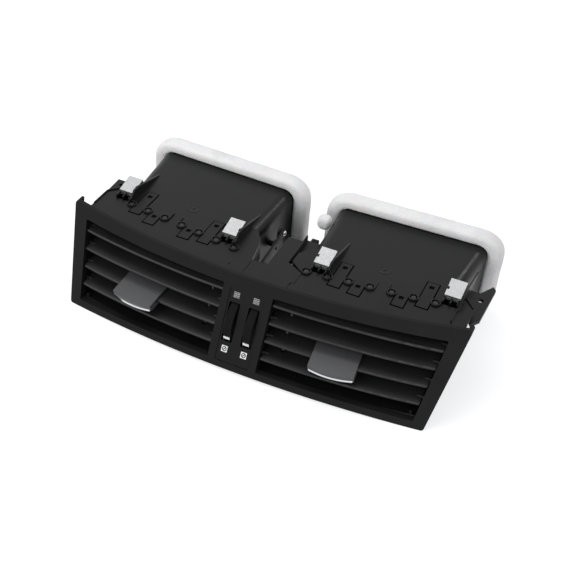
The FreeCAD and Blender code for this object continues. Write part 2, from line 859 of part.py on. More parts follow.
def make_vane_bar(rest_turn):
    """Strip that ties the vanes of one vent together."""
    turn = math.radians(vane_splay + rest_turn)
    back = Vector(-math.sin(turn), math.cos(turn), 0) * vane_arm
    z0 = carrier_bottom + vane_bar_lift
    first = vane_point(0) + back - vane_axis * 4.0
    last = vane_point(vane_count - 1) + back + vane_axis * 4.0
    across = Vector(-vane_axis.y, vane_axis.x, 0) * vane_bar_half
    rise = Vector(0, 0, z0)
    points = [first + across + rise, last + across + rise, last - across + rise, first - across + rise]
    body = prism(points, Vector(0, 0, vane_bar_wall))
    for index in range(vane_count):
        place = vane_point(index) + back
        body = body.cut(post(place.x, place.y, z0 - 1.0, z0 + vane_bar_wall + 1.0,
                             vane_bar_pin_radius + running_gap))
    return body


def carrier_prism(grow, y0, y1):
    """Prism with the vane carrier's section, grown outward."""
    low = carrier_bottom - grow
    high = carrier_top + grow
    points = [
        Vector(opening_inner - grow, y0, low),
        Vector(opening_outer(low) + grow, y0, low),
        Vector(opening_outer(high) + grow, y0, high),
        Vector(opening_inner - grow, y0, high),
    ]
    return prism(points, Vector(0, y1 - y0, 0))


def behind_face(depth):
    """Everything behind a depth under the bowed face."""
    return bowed_slab(depth, depth + 150.0)


def make_vane_carrier():
    """Frame behind the bezel with the bearings of slats and vanes."""
    outer = carrier_prism(carrier_wall, -10.0, carrier_rear)
    inner = carrier_prism(0.0, -20.0, carrier_rear + 10.0)
    body = outer.cut(inner).common(behind_face(tunnel_depth + carrier_gap))
    holes = []
    for index in range(slat_count):
        pivot = slat_pivot(index)
        for start, end in slat_pin_spans(index):
            first = pivot + slat_axis * (start - 2.0)
            holes.append(Part.makeCylinder(slat_pin_radius + running_gap, end - start + 4.0, first, slat_axis))
    for index in range(vane_count):
        place = vane_point(index)
        holes.append(post(place.x, place.y, carrier_bottom - 4.0, carrier_bottom + 1.0,
                          vane_foot_radius + running_gap))
        holes.append(post(place.x, place.y, carrier_top - 1.0, carrier_top + 4.0, vane_pin_radius + running_gap))
    return body.cut(Part.makeCompound(holes))


def rounded_section(x0, x1, z0, z1, radius, y):
    """Wire of a rectangle with round corners, in a plane of constant Y."""
    r = radius
    k = r * (1.0 - math.sqrt(0.5))
    corners = [
        (Vector(x0, y, z0 + r), Vector(x0 + k, y, z0 + k), Vector(x0 + r, y, z0)),
        (Vector(x1 - r, y, z0), Vector(x1 - k, y, z0 + k), Vector(x1, y, z0 + r)),
        (Vector(x1, y, z1 - r), Vector(x1 - k, y, z1 - k), Vector(x1 - r, y, z1)),
        (Vector(x0 + r, y, z1), Vector(x0 + k, y, z1 - k), Vector(x0, y, z1 - r)),
    ]
    edges = []
    for index, (start, middle, end) in enumerate(corners):
        edges.append(Part.Arc(start, middle, end).toShape())
        edges.append(Part.makeLine(end, corners[(index + 1) % 4][0]))
    return Part.Wire(edges)


def duct_station(inset, y, skewed):
    """Section of the duct at a distance behind the face, inset from its outer surface."""
    radius = duct_corner_radius - inset
    wire = rounded_section(duct_side(y, True) + inset, duct_side(y, False) - inset,
                           duct_bottom + inset, duct_top - inset, radius, y)
    if skewed:
        wire.rotate(Vector(0, y, 0), Vector(0, 0, 1), duct_rear_skew)
    return wire


def duct_loft(inset, front, rear):
    """Solid between two sections of the duct, with a skewed rear end."""
    return Part.makeLoft([duct_station(inset, front, False), duct_station(inset, rear, True)], True, True)


def rear_block(grow_side, grow, y0, y1, radius):
    """Block with the section of the duct's rear end, in line with its skewed rear."""
    wire = rounded_section(duct_inner_rear - grow_side, duct_outer_rear + grow_side,
                           duct_bottom - grow, duct_top + grow, radius, y0)
    solid = Part.Face(wire).extrude(Vector(0, y1 - y0, 0))
    solid.rotate(Vector(0, duct_rear, 0), Vector(0, 0, 1), duct_rear_skew)
    return solid


def hood_plan(shift, rear):
    """Upright block whose inner side tapers from the hood to the duct."""
    inner = opening_inner - carrier_wall - carrier_gap - hood_wall + shift
    outline = [
        (inner, -30.0),
        (inner, hood_taper_start),
        (inner + hood_taper_width, hood_rear),
        (inner + hood_taper_width, rear),
        (hood_flange_half + 20.0, rear),
        (hood_flange_half + 20.0, -30.0),
    ]
    return plan_prism(outline, hood_bottom - 30.0, duct_top)


def hood_solid():
    """Box round the vane carrier that widens the duct towards the face."""
    grow = carrier_wall + carrier_gap
    inner = carrier_prism(grow, -20.0, hood_rear - hood_wall).common(hood_plan(hood_wall, hood_rear))
    outer = carrier_prism(grow + hood_wall, -10.0, hood_rear).common(hood_plan(0.0, hood_rear))
    return outer.cut(inner).common(behind_face(bezel_return + carrier_gap))


def top_plate(side):
    """Flat top of the housing, reaching out to its side flange and in to the middle."""
    hood_inner = opening_inner - carrier_wall - carrier_gap - hood_wall
    inner = hood_inner if side > 0 else -centre_left + seam_gap
    outline = [
        (inner, 0.0),
        (hood_flange_half, 0.0),
        (hood_flange_half, hood_flange_end),
        (hood_flange_half - hood_flange_chamfer, hood_rear + 1.0),
        (tower_outer[0] + tower_width / 2.0 + 1.0, tower_outer[1] + tower_block_length + 2.0),
        (duct_side(hood_rear, False) - duct_corner_radius, tower_outer[1] + tower_block_length + 2.0),
        (duct_side(hood_rear, False) - duct_corner_radius, hood_rear + 1.0),
        (hood_inner + hood_taper_width, hood_rear + 1.0),
        (hood_inner, hood_taper_start),
        (inner, centre_cavity_front),
    ]
    plate = plan_prism(outline, duct_top - hood_wall, duct_top)
    return plate.common(behind_face(tunnel_depth + carrier_gap))


def tower_parts(place, side):
    """Wedge fin and the sloping block beside it that carries a spring clip."""
    x, y = place
    half = tower_width / 2.0
    base = duct_top - 1.0
    fin_x = x + side * (half + tower_fin_wall / 2.0) - tower_fin_wall / 2.0
    fin = prism([
        Vector(fin_x, y - tower_fin_front, base),
        Vector(fin_x, y - 2.0, duct_top + tower_fin_height),
        Vector(fin_x, y + 6.0, duct_top + tower_fin_height),
        Vector(fin_x, y + tower_fin_rear, base),
    ], Vector(tower_fin_wall, 0, 0))
    front, rear = tower_slope(place)
    block = prism([
        Vector(x - half, y, base),
        front,
        rear,
        Vector(x - half, y + tower_block_length, base),
    ], Vector(tower_width, 0, 0))
    return [fin, block]


def tower_slope(place):
    """Front and rear end of a tower block's sloping top, at its low X side."""
    x, y = place
    low_x = x - tower_width / 2.0
    front = Vector(low_x, y, duct_top + tower_front_height)
    rear = Vector(low_x, y + tower_block_length, duct_top + tower_rear_height)
    return front, rear


def make_clip(place):
    """Spring clip that lies on the sloping block of a tower and hooks over its front."""
    front, rear = tower_slope(place)
    shift = Vector((tower_width - clip_width) / 2.0, 0, 0)
    way = rear - front
    way.normalize()
    out = Vector(0, -way.z, way.y)
    start = front + shift + out * clip_gap - way * (clip_gap + clip_wall)
    end = rear + shift + out * clip_gap + way * clip_gap
    wide = Vector(clip_width, 0, 0)
    plate = prism([start, end, end + out * clip_wall, start + out * clip_wall], wide)
    leg_rear = place[1] - clip_gap
    leg = box(start.x, start.x + clip_width, leg_rear - clip_wall, leg_rear,
              duct_top + clip_gap, front.z + clip_wall / 2.0)
    body = fuse([plate, leg])
    corner = start + way * 6.0 - out * 1.0 - Vector(1.0, 0, 0)
    notch = prism([
        corner,
        corner + way * clip_slot,
        corner + way * clip_slot + out * 4.0,
        corner + out * 4.0,
    ], Vector(1.0 + clip_slot_depth, 0, 0))
    return body.cut(notch)


def finger_places():
    """Middle X, front and rear of each snap finger of the right housing."""
    step = vane_pitch
    base = vane_line_x
    return (
        (base + 2.5 * step, finger_long[0] + 9.0, finger_long[1] + 6.0),
        (base + 1.5 * step, finger_short[0] + 3.5, finger_short[1] + 3.5),
        (base - 0.5 * step, finger_short[0], finger_short[1]),
        (base - 1.5 * step, finger_long[0], finger_long[1] - 4.0),
    )


def finger_parts():
    """Raised pads of the snap fingers, and their windows."""
    pads = []
    windows = []
    half = finger_width / 2.0
    for x, y0, y1 in finger_places():
        pads.append(box(x - half, x + half, y0, y1, duct_top - 0.5, duct_top + finger_height))
        low = duct_top - finger_groove_depth
        high = duct_top + finger_height + 1.0
        closed = y1 - y0 > 2.0 * finger_width
        rear = y1 + finger_groove if closed else y1
        outer = box(x - half - finger_groove, x + half + finger_groove, y0 - finger_groove, rear, low, high)
        windows.append(outer.cut(box(x - half, x + half, y0, y1, low - 1.0, high + 1.0)))
        middle = y1 - 6.0
        hole = finger_window / 2.0
        windows.append(box(x - hole, x + hole, middle - hole, middle + hole, low, high))
    return pads, windows


def ear(side):
    """Screw ear on the outer side of the housing."""
    x, y = ear_hole
    root = opening_outer(ear_height + ear_wall) + carrier_wall + carrier_gap + 0.4
    outline = [
        (root, y - 22.0),
        (x + 1.0, y - 32.0),
        (x + 6.5, y - 24.0),
        (x + 8.0, y + 18.0),
        (x + 5.0, y + 22.0),
        (x - 2.5, y + 9.0),
        (duct_side(y + 10.0, False) - 1.0, y + 9.0),
        (duct_side(y - 12.0, False) - 1.0, y - 12.5),
        (root, y - 12.5),
    ]
    plate = plan_prism(outline, ear_height, ear_height + ear_wall)
    if side < 0:
        beyond = y + ear_short_reach
        plate = plate.cut(box(x - 30.0, x + 30.0, beyond, beyond + 30.0, ear_height - 1.0, duct_top))
    return plate.cut(post(x, y, ear_height - 1.0, ear_height + ear_wall + 1.0, ear_hole_radius))


def ledge():
    """Ledge on the inner side of the right housing."""
    outline = [
        (opening_inner - carrier_wall - carrier_gap - 0.5, ledge_front),
        (opening_inner - carrier_wall - carrier_gap - 0.5, hood_taper_start),
        (duct_side(ledge_rear, True) + 1.0, hood_rear),
        (duct_side(ledge_rear, True) + 1.0, ledge_rear),
        (ledge_inner, ledge_rear),
        (ledge_inner, ledge_front + 16.0),
    ]
    return plan_prism(outline, ledge_height, ledge_height + ledge_wall)


def make_duct(side):
    """Duct housing with its hood, flanges, bosses, snap fingers and clip towers."""
    tube = duct_loft(0.0, hood_rear - hood_wall, duct_rear)
    neck = rear_block(-neck_inset, -neck_inset, duct_rear - 1.0, duct_rear + neck_length, duct_corner_radius - neck_inset)
    pieces = [tube, neck, hood_solid(), top_plate(side), ear(side)]
    if side > 0:
        pieces.append(ledge())
    for place in (tower_outer, tower_inner):
        pieces.extend(tower_parts(place, side))
    for x, y in dot_places:
        pieces.append(post(x, y, duct_top - 1.0, duct_top + dot_height, dot_radius))
    for index in range(vane_count):
        place = vane_point(index)
        pieces.append(post(place.x, place.y, duct_top - 1.0, duct_top + boss_height, boss_radius))
    pads, windows = finger_parts()
    pieces.extend(pads)
    body = fuse(pieces)
    passage = duct_loft(duct_wall, hood_rear - 3 * hood_wall, duct_rear)
    bore_inset = neck_inset + neck_wall
    throat = rear_block(-bore_inset, -bore_inset, duct_rear - 2.0, duct_rear + neck_length + 5.0,
                        duct_corner_radius - bore_inset)
    body = body.cut(passage).cut(throat)
    holes = list(windows)
    for index in range(vane_count):
        place = vane_point(index)
        holes.append(post(place.x, place.y, duct_top - 5.0, duct_top + 5.0, vane_pin_radius + running_gap))
        holes.append(post(place.x, place.y, duct_top - boss_recess_depth, duct_top + 5.0, boss_recess_radius))
    holes.append(rod_x(0.0, duct_outer_rear + 10.0, damper_y, damper_z, damper_shaft_radius + running_gap))
    body = body.cut(Part.makeCompound(holes))
    return cut_centre_seam(body, side)


def cut_centre_seam(body, side):
    """Trim the housing's top along the seam with the wheel carrier."""
    if side > 0:
        points = centre_outline(seam_gap)
        return body.cut(plan_prism(points, duct_top - centre_wall - seam_gap, duct_top + 1.0))
    return body


def centre_outline(grow):
    """Plan of the wheel carrier's top, grown on the right where a housing meets it."""
    y0 = 15.0
    return [
        (centre_left - 30.0 if grow > 0 else centre_left, y0),
        (centre_right + grow, y0),
        (centre_right + grow, centre_step_y - grow),
        (centre_step_x + grow, centre_step_y - grow),
        (centre_step_x + grow, centre_step_end + grow),
        (centre_neck_right + grow, centre_step_end + 12.0 + grow),
        (centre_left - 30.0 if grow > 0 else centre_left, centre_step_end + 12.0),
    ]


def make_wheel_carrier():
    """Middle frame with the bearing of the thumbwheels and the top between the vents."""
    web = box(-web_half_width, web_half_width, -10.0, web_rear, web_bottom, duct_top - 0.5)
    web = web.common(behind_face(bezel_wall + plate_gap + plate_foot + carrier_gap))
    z0 = duct_top - centre_wall
    top = plan_prism([
        (centre_left, 15.0),
        (centre_right, 15.0),
        (centre_right, centre_step_y),
        (centre_step_x, centre_step_y),
        (centre_step_x, centre_step_end),
        (centre_neck_right, centre_step_end + 8.0),
        (centre_neck_right, centre_plate_rear),
        (centre_neck_left, centre_plate_rear),
        (centre_neck_left, centre_cavity_front),
        (centre_left, centre_cavity_front),
    ], z0, duct_top)
    top = top.common(behind_face(tunnel_depth + carrier_gap))
    gusset = prism([
        Vector(centre_neck_left, web_rear - 2.0, duct_top),
        Vector(centre_neck_left, centre_plate_rear, duct_top),
        Vector(centre_neck_left, centre_plate_rear, duct_top - 8.0),
        Vector(centre_neck_left, web_rear - 2.0, duct_top - gusset_drop),
    ], Vector(gusset_wall, 0, 0))
    body = fuse([web, top, gusset])
    return body.cut(rod_x(-10.0, 10.0, wheel_y, wheel_z, axle_radius + running_gap))


def make_axle():
    """Steel axle of both thumbwheels, with a head at each end."""
    end = wheel_x + wheel_width / 2.0
    body = rod_x(-end - 0.1, end + 0.1, wheel_y, wheel_z, axle_radius)
    heads = []
    for x in (-end - side_gap - axle_head_length, end + side_gap):
        heads.append(rod_x(x, x + axle_head_length, wheel_y, wheel_z, axle_head_radius))
    neck = rod_x(-end - side_gap - 0.1, end + side_gap + 0.1, wheel_y, wheel_z, axle_radius)
    return fuse([body, neck] + heads)


def make_foam_seal():
    """Soft ring round the duct's neck that seals against the air box."""
    y0 = duct_rear + foam_gap
    outer = rear_block(foam_side_reach, foam_reach, y0, y0 + foam_depth, duct_corner_radius + foam_side_reach)
    long_edges = [e for e in outer.Edges if not is_short_side(e)]
    outer = outer.makeFillet(foam_edge_radius, long_edges)
    hole = foam_gap - neck_inset
    inner = rear_block(hole, hole, y0 - 5.0, y0 + foam_depth + 5.0, duct_corner_radius + hole)
    return outer.cut(inner)


def is_short_side(edge):
    """True for an edge of the foam block that runs through its depth."""
    return abs(edge.Length - foam_depth) < 1e-3


def make_bumper():
    """Foam block that rests on the right duct's inner side."""
    wide, deep, high = bumper_size
    y, z = bumper_place
    x1 = duct_side(y + deep / 2.0, True) - foam_gap
    solid = box(x1 - wide, x1, y - deep / 2.0, y + deep / 2.0, z - high / 2.0, z + high / 2.0)
    return solid.makeFillet(bumper_edge_radius, solid.Edges)


def side_name(side):
    """Name of the vent on one side."""
    return "right" if side > 0 else "left"


def save_vent(side):
    """Write every piece of one vent."""
    name = side_name(side)
    offset = knob_rest_right if side > 0 else -knob_rest_left
    rest_turn = math.degrees(offset / yoke_reach)
    pieces = {
        "duct_housing_" + name: make_duct(side),
        "vane_carrier_" + name: make_vane_carrier(),
        "slat_tie_bar_" + name: make_slat_bar(),
        "vane_tie_bar_" + name: make_vane_bar(rest_turn),
        "knob_" + name: make_knob(offset),
        "knob_trim_" + name: make_knob_trim(offset),
        "damper_" + name: make_damper(),
        "damper_crank_" + name: make_damper_crank(),
        "link_rod_" + name: make_link_rod(),
        "thumbwheel_" + name: make_thumbwheel(),
        "wheel_mark_" + name: mark_block(),
        "foam_seal_" + name: make_foam_seal(),
        "clip_outer_" + name: make_clip(tower_outer),
        "clip_inner_" + name: make_clip(tower_inner),
    }
    for index in range(slat_count):
        pieces["slat_%s_%d" % (name, index + 1)] = make_slat(index)
    for index in range(vane_count):
        pieces["vane_%s_%d" % (name, index + 1)] = make_vane(index, rest_turn)
    for node, shape in pieces.items():
        save(shape if side > 0 else mirrored(shape), node)


def main():
    """Write every piece of the vent."""
    os.makedirs(parts_folder, exist_ok=True)
    save(make_bezel(), "bezel")
    save(make_centre_plate(), "centre_plate")
    save(make_wheel_carrier(), "wheel_carrier")
    save(make_axle(), "wheel_axle")
    save(make_bumper(), "foam_bumper")
    for side in (1, -1):
        save_vent(side)


main()
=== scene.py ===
"""Dashboard air vent: finishes, foam, small moulded forms, printed signs, camera and light."""

from __future__ import annotations

import json
import logging
import math
from dataclasses import dataclass
from enum import Enum
from typing import Callable, Optional, Sequence

import bmesh
import bpy
from mathutils import Matrix, Vector, noise

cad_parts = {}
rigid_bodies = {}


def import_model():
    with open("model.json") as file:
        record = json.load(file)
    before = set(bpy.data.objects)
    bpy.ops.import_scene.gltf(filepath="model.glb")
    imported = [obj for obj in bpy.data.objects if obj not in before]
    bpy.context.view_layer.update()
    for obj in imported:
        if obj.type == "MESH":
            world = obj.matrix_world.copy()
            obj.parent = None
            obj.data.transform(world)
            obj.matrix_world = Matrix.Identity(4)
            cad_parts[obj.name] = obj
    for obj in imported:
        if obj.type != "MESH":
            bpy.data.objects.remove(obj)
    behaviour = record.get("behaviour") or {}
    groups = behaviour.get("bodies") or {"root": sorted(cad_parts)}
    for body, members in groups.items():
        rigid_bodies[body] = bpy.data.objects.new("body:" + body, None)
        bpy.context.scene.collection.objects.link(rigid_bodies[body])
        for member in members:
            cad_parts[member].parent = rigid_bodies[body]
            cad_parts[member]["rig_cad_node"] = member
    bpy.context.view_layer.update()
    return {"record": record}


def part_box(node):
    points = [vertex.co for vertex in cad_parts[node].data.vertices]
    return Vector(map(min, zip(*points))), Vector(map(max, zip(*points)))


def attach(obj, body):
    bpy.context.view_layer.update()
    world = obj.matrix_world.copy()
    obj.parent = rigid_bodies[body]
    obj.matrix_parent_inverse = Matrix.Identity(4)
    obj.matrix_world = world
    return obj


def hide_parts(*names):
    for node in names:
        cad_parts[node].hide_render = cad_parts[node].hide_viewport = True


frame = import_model()

log = logging.getLogger("air_vent")

MM = 0.001
"""One millimetre in metres."""

ORIGIN_SHIFT = Vector((0.0, -93.9783, 2.2))
"""Millimetres from the bezel's own origin to the origin of the whole vent."""

ROOT_BODY = "vent_frame"
"""Body that carries everything that doesn't move."""

IMAGE_SIZE = 576
"""Width and height of the picture in pixels."""


def row(x: float, y: float, z: float) -> Vector:
    """Turn a place in the bezel's millimetres into metres in the vent's own frame.

    Args:
        x: millimetres to the right.
        y: millimetres rearward.
        z: millimetres up.

    Returns:
        The same place in metres.
    """
    return (Vector((x, y, z)) + ORIGIN_SHIFT) * MM


def linear(hex_colour: str) -> tuple[float, float, float, float]:
    """Turn an sRGB hex colour into the linear colour that Blender wants.

    Args:
        hex_colour: six hex digits.

    Returns:
        Linear red, green and blue, and an alpha of 1.
    """
    values = [int(hex_colour[i : i + 2], 16) / 255.0 for i in (0, 2, 4)]
    channels = [v / 12.92 if v <= 0.04045 else ((v + 0.055) / 1.055) ** 2.4 for v in values]
    return (channels[0], channels[1], channels[2], 1.0)


def add_node(
    tree: bpy.types.NodeTree,
    kind: str,
    settings: Optional[dict[str, object]] = None,
    inputs: Optional[dict[str, object]] = None,
    links: Optional[dict[str, bpy.types.NodeSocket]] = None,
) -> bpy.types.Node:
    """Add a node with its settings, its socket values and its links.

    Args:
        tree: node tree that gets the node.
        kind: Blender's name for the node type.
        settings: attributes to set on the node.
        inputs: values for its input sockets, by socket name or number.
        links: output sockets to join to its inputs, by socket name or number.

    Returns:
        The new node.
    """
    made = tree.nodes.new(kind)
    for name, value in (settings or {}).items():
        setattr(made, name, value)
    for name, value in (inputs or {}).items():
        made.inputs[name].default_value = value
    for name, socket in (links or {}).items():
        tree.links.new(socket, made.inputs[name])
    return made


def frequency(size_mm: float) -> float:
    """Scale of a noise or cell pattern whose features measure size_mm."""
    return 1000.0 / size_mm


def new_material(name: str) -> tuple[bpy.types.Material, bpy.types.NodeTree]:
    """Start a material with an empty node tree.

    Args:
        name: name of the material.

    Returns:
        The material and its node tree.
    """
    material = bpy.data.materials.new(name)
    material.use_nodes = True
    material.node_tree.nodes.clear()
    return material, material.node_tree


@dataclass(frozen=True)
class MouldedPlastic:
    """Injection-moulded plastic with a spark-eroded grain from its mould.

    The grain breaks the reflections up, and the slow variation of roughness and tone comes
    from uneven mould temperature.
    """

    name: str
    colour: str
    roughness: float
    grain_mm: float
    grain_depth_mm: float
    specular: float = 0.3
    roughness_spread: float = 0.06
    cloud_mm: float = 24.0
    paler_by: float = 1.22

    def build(self) -> bpy.types.Material:
        """Make the material.

        Returns:
            The finished material.
        """
        material, tree = new_material(self.name)
        place = add_node(tree, "ShaderNodeTexCoord").outputs["Object"]
        cloud = add_node(
            tree,
            "ShaderNodeTexNoise",
            inputs={"Scale": frequency(self.cloud_mm), "Detail": 4.0, "Roughness": 0.55},
            links={"Vector": place},
        )
        grain = add_node(
            tree,
            "ShaderNodeTexNoise",
            inputs={"Scale": frequency(self.grain_mm), "Detail": 3.0, "Roughness": 0.6},
            links={"Vector": place},
        )
        rough = add_node(
            tree,
            "ShaderNodeMapRange",
            inputs={
                "From Min": 0.3,
                "From Max": 0.7,
                "To Min": self.roughness - self.roughness_spread,
                "To Max": self.roughness + self.roughness_spread,
            },
            links={"Value": cloud.outputs["Fac"]},
        )
        bump = add_node(
            tree,
            "ShaderNodeBump",
            inputs={"Strength": 0.6, "Distance": self.grain_depth_mm * MM},
            links={"Height": grain.outputs["Fac"]},
        )
        base = linear(self.colour)
        paler = tuple(min(1.0, channel * self.paler_by) for channel in base[:3]) + (1.0,)
        colour = add_node(
            tree,
            "ShaderNodeMix",
            settings={"data_type": "RGBA"},
            inputs={6: base, 7: paler},
            links={0: cloud.outputs["Fac"]},
        )
        shader = add_node(
            tree,
            "ShaderNodeBsdfPrincipled",
            inputs={"IOR": 1.5, "Specular IOR Level": self.specular},
            links={
                "Base Color": colour.outputs[2],
                "Roughness": rough.outputs["Result"],
                "Normal": bump.outputs["Normal"],
            },
        )
        add_node(tree, "ShaderNodeOutputMaterial", links={"Surface": shader.outputs["BSDF"]})
        return material


@dataclass(frozen=True)
class Metal:
    """Metal surface, plated or drawn, with fine lines or a faint unevenness."""

    name: str
    colour: str
    roughness: float
    line_mm: float
    line_depth_mm: float
    stretch: tuple[float, float, float] = (1.0, 1.0, 1.0)

    def build(self) -> bpy.types.Material:
        """Make the material.

        Returns:
            The finished material.
        """
        material, tree = new_material(self.name)
        place = add_node(tree, "ShaderNodeTexCoord").outputs["Object"]
        stretched = add_node(
            tree, "ShaderNodeMapping", inputs={"Scale": self.stretch}, links={"Vector": place}
        )
        lines = add_node(
            tree,
            "ShaderNodeTexNoise",
            inputs={"Scale": frequency(self.line_mm), "Detail": 4.0},
            links={"Vector": stretched.outputs["Vector"]},
        )
        bump = add_node(
            tree,
            "ShaderNodeBump",
            inputs={"Strength": 0.5, "Distance": self.line_depth_mm * MM},
            links={"Height": lines.outputs["Fac"]},
        )
        rough = add_node(
            tree,
            "ShaderNodeMapRange",
            inputs={
                "From Min": 0.3,
                "From Max": 0.7,
                "To Min": self.roughness * 0.7,
                "To Max": self.roughness * 1.4,
            },
            links={"Value": lines.outputs["Fac"]},
        )
        shader = add_node(
            tree,
            "ShaderNodeBsdfPrincipled",
            inputs={"Metallic": 1.0, "Base Color": linear(self.colour)},
            links={"Normal": bump.outputs["Normal"], "Roughness": rough.outputs["Result"]},
        )
        add_node(tree, "ShaderNodeOutputMaterial", links={"Surface": shader.outputs["BSDF"]})
        return material


@dataclass(frozen=True)
class SkivedFoam:
    """Open-cell polyurethane foam, cut with a blade.

    The cut cells leave a soft, dull surface with fine pores. It greys where hands and
    the plastic beside it have soiled it.
    """

    name: str
    colour: str
    soiled: str
    cell_mm: float
    pore_mm: float
    stain_mm: float = 30.0
    pore_depth_mm: float = 0.5

    def build(self) -> bpy.types.Material:
        """Make the material.

        Returns:
            The finished material.
        """
        material, tree = new_material(self.name)
        place = add_node(tree, "ShaderNodeTexCoord").outputs["Object"]
        cells = add_node(
            tree,
            "ShaderNodeTexVoronoi",
            inputs={"Scale": frequency(self.cell_mm)},
            links={"Vector": place},
        )
        pores = add_node(
            tree,
            "ShaderNodeTexNoise",
            inputs={"Scale": frequency(self.pore_mm), "Detail": 6.0, "Roughness": 0.7},
            links={"Vector": place},
        )
        stain = add_node(
            tree,
            "ShaderNodeTexNoise",
            inputs={"Scale": frequency(self.stain_mm), "Detail": 5.0, "Roughness": 0.6},
            links={"Vector": place},
        )
        height = add_node(
            tree,
            "ShaderNodeMath",
            settings={"operation": "ADD"},
            links={0: cells.outputs["Distance"], 1: pores.outputs["Fac"]},
        )
        bump = add_node(
            tree,
            "ShaderNodeBump",
            inputs={"Strength": 0.7, "Distance": self.pore_depth_mm * MM},
            links={"Height": height.outputs["Value"]},
        )
        share = add_node(
            tree,
            "ShaderNodeMapRange",
            inputs={"From Min": 0.45, "From Max": 0.75, "To Min": 0.0, "To Max": 0.5},
            links={"Value": stain.outputs["Fac"]},
        )
        colour = add_node(
            tree,
            "ShaderNodeMix",
            settings={"data_type": "RGBA"},
            inputs={6: linear(self.colour), 7: linear(self.soiled)},
            links={0: share.outputs["Result"]},
        )
        shader = add_node(
            tree,
            "ShaderNodeBsdfPrincipled",
            inputs={
                "Roughness": 0.95,
                "Specular IOR Level": 0.15,
                "Subsurface Weight": 0.2,
                "Subsurface Scale": 0.003,
                "Sheen Weight": 0.15,
            },
            links={"Base Color": colour.outputs[2], "Normal": bump.outputs["Normal"]},
        )
        add_node(tree, "ShaderNodeOutputMaterial", links={"Surface": shader.outputs["BSDF"]})
        return material


class Finish(Enum):
    """Every finish on the vent.

    The plastics' real grain is about 0.1 mm fine, and so are the lines on the clips and the axle.
    They are drawn 0.3 to 1.2 mm coarse, so that they show. Chrome and rivets have no lines, only
    a slow unevenness of 2 to 6 mm. The foam's cells and pores have their real size.
    """

    # Spark-eroded ABS: a deep, even black that scatters light into a soft sheen.
    GRAINED_ABS = MouldedPlastic(
        "abs_spark_grained", "121213", 0.55, grain_mm=0.45, grain_depth_mm=0.03, specular=0.12
    )
    # Moulded polypropylene: black with a waxy, satin shine on its flanks and edges.
    HOUSING_PP = MouldedPlastic(
        "polypropylene_moulded_satin", "111112", 0.34, grain_mm=0.8, grain_depth_mm=0.012, specular=0.17
    )
    # Painted shade: near-black, unlit plastic for flat bands laid over the narrow gaps, standing in for the
    # shade down inside them.
    OPEN_GAP = MouldedPlastic(
        "polypropylene_unlit_gap", "030303", 0.9, grain_mm=0.8, grain_depth_mm=0.01, specular=0.0
    )
    # Moulded polyamide: a slightly greyer black, with a clean highlight along each nose.
    BLADE_PA = MouldedPlastic(
        "polyamide_moulded_blades", "181819", 0.42, grain_mm=0.6, grain_depth_mm=0.015, specular=0.36
    )
    # Matte moulded ABS: dark grey, so that the knobs stand out from the slats.
    KNOB_ABS = MouldedPlastic(
        "abs_moulded_matte_knob", "3e3e3f", 0.42, grain_mm=0.35, grain_depth_mm=0.02, specular=0.5
    )
    # Elastomer moulded over the wheel: dull and nearly black.
    WHEEL_TPE = MouldedPlastic(
        "elastomer_moulded_wheel", "0c0c0d", 0.6, grain_mm=0.5, grain_depth_mm=0.02, specular=0.12
    )
    # Acetal links: smooth, black and faintly slick.
    LINK_ACETAL = MouldedPlastic(
        "acetal_moulded_links", "0c0c0d", 0.4, grain_mm=1.2, grain_depth_mm=0.01, specular=0.15
    )
    # White ABS moulded into the wheel: a clean, bright mark.
    WHITE_INLAY = MouldedPlastic(
        "abs_moulded_white_inlay", "dededc", 0.4, grain_mm=0.4, grain_depth_mm=0.01
    )
    # Pad-printed grey ink: flat and a little duller than the white.
    PRINTED_GREY = MouldedPlastic(
        "pad_printed_grey_ink", "8e8e8d", 0.5, grain_mm=0.3, grain_depth_mm=0.01
    )
    # Pad-printed white ink: flat and bright.
    PRINTED_WHITE = MouldedPlastic(
        "pad_printed_white_ink", "dadad8", 0.5, grain_mm=0.3, grain_depth_mm=0.01
    )
    # Chrome on ABS: a mirror that shows the bright room.
    CHROME = Metal("chrome_plated_abs", "dcdde0", 0.08, line_mm=6.0, line_depth_mm=0.01)
    # Zinc-plated spring steel: a bright, cloudy grey with faint rolling lines.
    CLIP_STEEL = Metal(
        "spring_steel_bright_zinc", "b2b3b4", 0.5, line_mm=0.4, line_depth_mm=0.01, stretch=(1.0, 0.08, 1.0)
    )
    # Cold-headed and plated steel: small bright domes.
    RIVET_STEEL = Metal("steel_cold_headed_zinc", "d8d8da", 0.3, line_mm=2.0, line_depth_mm=0.005)
    # Drawn steel: fine lines along the axle.
    AXLE_STEEL = Metal(
        "steel_drawn", "9a9a9c", 0.25, line_mm=0.3, line_depth_mm=0.005, stretch=(0.05, 1.0, 1.0)
    )
    # Skived polyurethane foam: off-white, soft-edged and full of fine pores.
    FOAM = SkivedFoam("polyurethane_foam_skived", "efeeec", "d2d1ce", cell_mm=1.3, pore_mm=0.7)

    def material(self) -> bpy.types.Material:
        """The finish's material, made on first use."""
        found = bpy.data.materials.get(self.value.name)
        return found or self.value.build()


